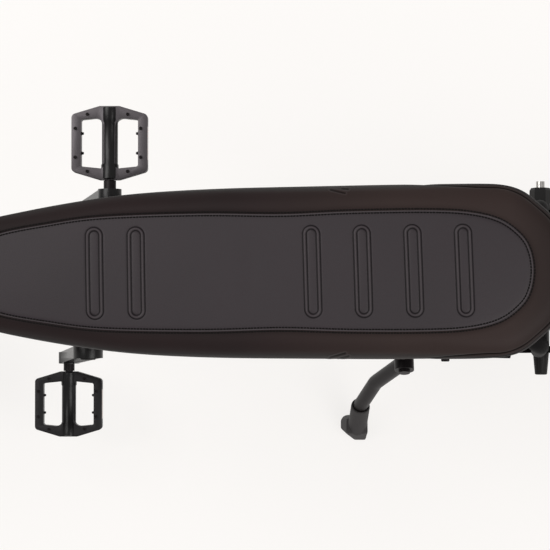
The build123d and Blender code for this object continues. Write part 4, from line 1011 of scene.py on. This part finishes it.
def make_crankset():
    cap = [(11.0, -0.3), (11.0, 1.6), (9.6, 2.6), (5.5, 2.6), (5.0, 1.0)]
    places = [facing((BB_AT + ACROSS * side * CRANK_FACE_Y) * MM, ACROSS * side) for side in SIDES]
    fit(repeated(turned(cap, 24), places), "crank_bolt_caps", "crankset", "black_plastic", "moulded_abs")
    places = [facing(round_about(BB_AT, RING_BOLT_R, 72 * k + 90, RING_FACE_Y) * MM, -ACROSS)
              for k in range(5)]
    fit(repeated(screw(4.8, 2.2), places), "chainring_bolts", "crankset", "bright_steel", "zinc")


PEDALS = {"right": Vector((594.57, -179.5, 473.82)), "left": Vector((685.43, 179.5, 146.18))}
PIN_SPOTS = ((45.0, 19.0), (-41.0, 19.0), (29.0, 37.5), (-24.0, 37.5))    # ahead, and to each side
PEDAL_FACE, GRUB_X, GRUB_Y = 8.0, 37.4, 13.0


def make_pedals():
    for name, at in PEDALS.items():
        body = name + "_pedal"
        pin = turned([(2.3, -0.3), (2.3, 1.0), (1.7, 1.4), (1.7, 3.0), (1.0, 3.0), (0.9, 1.6)], 8)
        places = [facing((at + Vector((x, side * y, face * PEDAL_FACE))) * MM, (0, 0, face))
                  for x, y in PIN_SPOTS for side in SIDES for face in SIDES]
        places += [facing((at + Vector((end * GRUB_X, side * GRUB_Y, 0))) * MM, (-end, 0, 0))
                   for end in SIDES for side in SIDES]
        fit(repeated(pin, places), name + "_pedal_pins", body, "black_steel", "black_steel")
        tube = turned([(10.2, -47.6), (11.6, -46.6), (11.6, -29.0), (10.6, -27.0), (10.6, 27.0), (11.6, 29.0),
                       (11.6, 46.6), (10.2, 47.6)], 28)
        fit(put(tube, at, ACROSS), name + "_pedal_tube", body, "black_alloy", "gloss_enamel")


# Rear end, stand, battery and lamps

AXLE_NUT_AT, AXLE_END_AT, STAY_BOLT_AT = (0, -99, 290), (0, -134, 290), (136, 105.4, 293.5)


def stand_boot():
    """Rubber boot of the stand, its pad trimmed narrow behind the leg and its toe cut off at a slant."""
    boot = upright_copy("stand_foot")
    for at, out in (((235.8, 222, 31), (-1, 0, -0.06)), ((267, 229.5, 31), (0.64, 0.77, 0))):
        pick(boot, lambda point: True, "VERT")
        bpy.ops.mesh.bisect(plane_co=mm(*at), plane_no=out, use_fill=True, clear_outer=True)
    mode("OBJECT")
    modify(boot, "REMESH", mode="VOXEL", voxel_size=1.1 * MM)
    return modify(boot, "SMOOTH", factor=0.5, iterations=14)


def make_rear_end():
    flange = turned([(16.5, 0.0), (16.5, 5.5), (15.0, 8.0)], 32)
    nut = turned([(14.2, 7.0), (15.4, 8.5), (15.4, 31.0), (13.0, 34.8)], 6)
    fit(put(joined(flange, nut), AXLE_NUT_AT, -ACROSS, 20), "axle_nut_hex", "frame", "black_steel",
        "moulded_abs", "axle_nut", sharp_deg=25)
    ridges = [(5.2, 0.0)]
    for k in range(7):
        ridges += [(5.9, 0.5 + 1.2 * k), (5.3, 1.1 + 1.2 * k)]
    thread = turned(ridges + [(4.4, 9.0)], 20)
    fit(put(thread, AXLE_END_AT, -ACROSS), "axle_thread", "frame", "bright_steel", "zinc")
    head = turned([(8.5, -0.4), (8.5, 1.2), (6.6, 1.4), (6.6, 5.8), (5.6, 7.0)], 6)
    fit(put(head, STAY_BOLT_AT, ACROSS), "stay_bolt", "frame", "black_steel", "black_steel")
    fit(stand_boot(), "stand_boot", "side_stand", "grip_rubber", "boot_rubber", "stand_foot")


SEAT_TUBE_TOP = Vector((470, 0, 690))
CONTROLLER_UP, CONTROLLER_BACK, FIN_PITCH = 185.0, 77.0, 9.0
BATTERY_SIDE_Y, LOCK_X, LOCK_Z = 46.2, 655.0, 560.0


def make_battery():
    """Shell with a sunk panel each side, lock, charge port, charge lamps and the controller's fins."""
    shell = rounded(upright_copy("battery"), 3.0, 3)
    pick(shell, lambda face: abs(face.normal.y) > 0.98 and face.area > 0.01)
    bpy.ops.mesh.inset(thickness=14 * MM, depth=0.0)
    bpy.ops.mesh.inset(thickness=2 * MM, depth=-1.8 * MM)
    mode("OBJECT")
    fit(shell, "battery_shell", "frame", "battery_case", "battery_abs", "battery")
    lock = turned([(12.0, -2.0), (12.0, 1.5), (10.5, 2.5), (7.5, 2.5), (7.0, 1.2), (2.0, 1.2)], 24)
    fit(put(lock, (LOCK_X, BATTERY_SIDE_Y, LOCK_Z), ACROSS), "battery_lock", "frame", "bright_steel", "zinc")
    port = turned([(14.0, -2.0), (14.0, 2.0), (12.5, 3.2), (9.0, 3.2), (8.4, 4.6), (6.0, 5.0)], 24)
    fit(put(port, (LOCK_X, -BATTERY_SIDE_Y, LOCK_Z), -ACROSS), "battery_charge_port", "frame",
        "black_plastic", "grip_rubber")
    lamps = turned([(2.6, -2.0), (2.6, 0.6), (1.8, 1.2)], 10)
    places = [facing(mm(690 + 9 * k, BATTERY_SIDE_Y, 600), ACROSS) for k in range(4)]
    fit(repeated(lamps, places), "battery_charge_lamps", "frame", "lens_glass", "clear_lens")
    up = (SEAT_TUBE_TOP - BB_AT).normalized()
    back = Vector((-up.z, 0, up.x))
    foot = BB_AT + up * CONTROLLER_UP + back * (CONTROLLER_BACK - 0.4)
    fin = block(150, 2.2, 6.0, 0.8, 0.5)
    places = [stood((foot + ACROSS * (FIN_PITCH * k)) * MM, up, back) for k in range(-4, 5)]
    fit(repeated(fin, places), "controller_fins", "frame", "black_plastic", "blasted_alloy")


def make_lamps():
    lamp = upright_copy("tail_light")
    pick(lamp, lambda face: face.normal.x < -0.95)
    bpy.ops.mesh.inset(thickness=5 * MM, depth=0.0)
    bpy.ops.mesh.inset(thickness=1.2 * MM, depth=-2.0 * MM)
    mode("OBJECT")
    rounded(lamp, 1.0)
    fit(lamp, "tail_light_lens", "frame", "tail_red", "red_acrylic", "tail_light")
    dome = turned([(3.6, -0.5), (3.6, 0.8), (2.6, 1.8), (1.2, 2.3)], 12)
    places = [facing(mm(26.0, y, 688 + z), (-1, 0, 0)) for y in range(-32, 33, 16) for z in (-7, 7)]
    fit(repeated(dome, places), "tail_light_bulbs", "frame", "tail_red", "red_acrylic")
    centre = in_fork(74, 0, 486)
    face = centre + Vector((58, 0, 0))
    forward = Vector((1, 0, 0))
    dish = turned([(43.4, -5.9), (43.4, -2.4), (42.6, -2.2), (30.0, -3.8), (14.0, -5.2), (5.0, -5.5)], 48)
    fit(put(dish, face, forward), "headlight_reflector", "steering", "bright_steel", "chrome")
    lens = turned([(43.6, -2.0), (43.6, -1.0), (30.0, -0.4), (10.0, -0.1)], 48)
    fit(put(lens, face, forward), "headlight_glass", "steering", "lens_glass", "clear_lens", "headlight_lens")
    bezel = hoop([(44.2, -1.0), (50.6, -3.0), (50.9, 0.8), (49.0, 2.2), (45.2, 1.8)], 64)
    fit(put(bezel, face, forward), "headlight_bezel", "steering", "bright_steel", "zinc")


# Fork, bars and controls

STEM_Z, LEG_X, LEG_Y = 602.0, 30.0, 88.0
BAR_X, BAR_RISE = 50.0, 250.0


def make_front_end():
    rows = [(15.6, 0.0), (16.25, 0.6), (16.25, 121.4), (15.6, 122.0)]
    places = [facing(in_fork(LEG_X, side * LEG_Y, 261.5) * MM, UP_STEERER) for side in SIDES]
    fit(repeated(turned(rows, 32), places), "stanchion_chrome", "steering", "bright_steel", "chrome")
    seal = [(20.9, -3.0), (20.9, 1.5), (19.6, 4.0), (18.4, 8.0), (16.4, 9.5)]
    fit(repeated(turned(seal, 32), places), "fork_dust_seals", "steering", "grip_rubber", "grip_rubber")
    cap = [(15.4, -0.5), (15.4, 2.0), (13.8, 3.6), (9.0, 3.6), (8.4, 1.6)]
    places = [facing(in_fork(LEG_X, side * LEG_Y, 431) * MM, UP_STEERER) for side in SIDES]
    fit(repeated(turned(cap, 24), places), "fork_top_caps", "steering", "black_alloy", "blasted_alloy")
    bolts = [facing(in_fork(68.4, y, STEM_Z + z) * MM, AHEAD) for y in (-18, 18) for z in (-9, 9)]
    fit(repeated(screw(4.4, 3.4), bolts), "stem_bolts", "steering", "black_steel", "black_steel")
    cap = turned([(17.0, -0.3), (17.0, 2.2), (15.5, 4.2), (5.0, 4.2), (4.4, 1.8)], 32)
    put(cap, in_fork(0, 0, STEM_Z + 22), UP_STEERER)
    fit(cap, "stem_top_cap", "steering", "black_alloy", "blasted_alloy")
    for name, side in (("left", 1), ("right", -1)):
        end = in_fork(BAR_X - 95, side * 350, STEM_Z + BAR_RISE)
        inner = in_fork(BAR_X - 34, side * 200, STEM_Z + BAR_RISE)
        rows = [(13.0, -2.0), (16.0, -1.6), (16.5, 0.0), (16.5, 5.0)]
        for k in range(21):
            rows += [(15.2, 6.6 + 5 * k), (16.4, 8.0 + 5 * k), (16.4, 10.0 + 5 * k)]
        rows += [(16.5, 112.0), (16.5, 115.0), (15.6, 116.0), (11.4, 116.0)]
        fit(put(turned(rows, 28), end, inner - end), name + "_ribbed_grip", "steering", "grip_rubber",
            "grip_rubber", "grip_" + name)
    tilt = math.radians(28.0)
    normal = (UP_STEERER * math.cos(tilt) - AHEAD * math.sin(tilt)).normalized()
    along = (AHEAD * math.cos(tilt) + UP_STEERER * math.sin(tilt)).normalized()
    base = in_fork(62, 0, STEM_Z + 35.1) + normal * 6.9
    glass = block(34, 62, 0.9, 0.98, 0.3)
    glass.data.transform(stood((base + along * 4) * MM, along, normal))
    fit(glass, "display_glass", "steering", "lens_glass", "screen_glass")
    key = block(5, 12, 1.6, 0.9, 0.5)
    places = [stood((base - along * 19 + ACROSS * y) * MM, along, normal) for y in (-18, 0, 18)]
    fit(repeated(key, places), "display_keys", "steering", "grip_rubber", "grip_rubber")


# Castings, forgings and mouldings whose edges are rounded over

EASED = (    # node, piece, body, slot, finish, edge radius in millimetres, steps round it, sharp angle
    ("front_rim", "front_rim_wall", "front_wheel", "black_alloy", "blasted_alloy", 1.6, 2, 38),
    ("rear_rim", "rear_rim_wall", "rear_wheel", "black_alloy", "blasted_alloy", 1.6, 2, 38),
    ("hub_motor", "hub_motor_case", "rear_wheel", "black_alloy", "gloss_enamel", 1.5, 2, 38),
    ("front_hub", "front_hub_shell", "front_wheel", "black_alloy", "blasted_alloy", 0.8, 2, 38),
    ("crank_arms", "crank_forgings", "crankset", "black_alloy", "gloss_enamel", 1.8, 3, 50),
    ("pedal_right", "right_pedal_cage", "right_pedal", "black_alloy", "right_cage_alloy", 1.3, 2, 38),
    ("pedal_left", "left_pedal_cage", "left_pedal", "black_alloy", "left_cage_alloy", 1.3, 2, 38),
    ("axle_cap", "axle_cap_cover", "frame", "black_plastic", "moulded_abs", 0.9, 2, 38),
    ("rack_eyelets", "rack_eyelet_studs", "frame", "black_alloy", "blasted_alloy", 0.7, 2, 38),
    ("stand_bracket", "stand_bracket_casting", "frame", "frame_paint", "powder_coat", 1.0, 2, 38),
    ("controller", "controller_case", "frame", "black_plastic", "blasted_alloy", 1.5, 2, 38),
    ("stem", "stem_forging", "steering", "black_alloy", "blasted_alloy", 1.6, 2, 38),
    ("lever_left", "left_brake_lever", "steering", "black_alloy", "blasted_alloy", 0.8, 2, 38),
    ("lever_right", "right_brake_lever", "steering", "black_alloy", "blasted_alloy", 0.8, 2, 38),
    ("display", "display_case", "steering", "black_plastic", "moulded_abs", 2.2, 3, 38))


def make_eased():
    for node, piece, body, slot, finish, edge_mm, steps, sharp_deg in EASED:
        obj = rounded(upright_copy(node), edge_mm, steps)
        fit(obj, piece, body, slot, finish, node, sharp_deg=sharp_deg)


# Scene

def dress_nodes():
    for finish, nodes in NODE_FINISH.items():
        for node in nodes:
            obj = frame["nodes"][node]
            obj.data.materials.clear()
            obj.data.materials.append(FINISH[finish])


set_camera()
set_floor_and_light()
dress_nodes()
make_seat()
make_wheels()
make_chain()
make_crankset()
make_pedals()
make_rear_end()
make_battery()
make_lamps()
make_front_end()
make_eased()
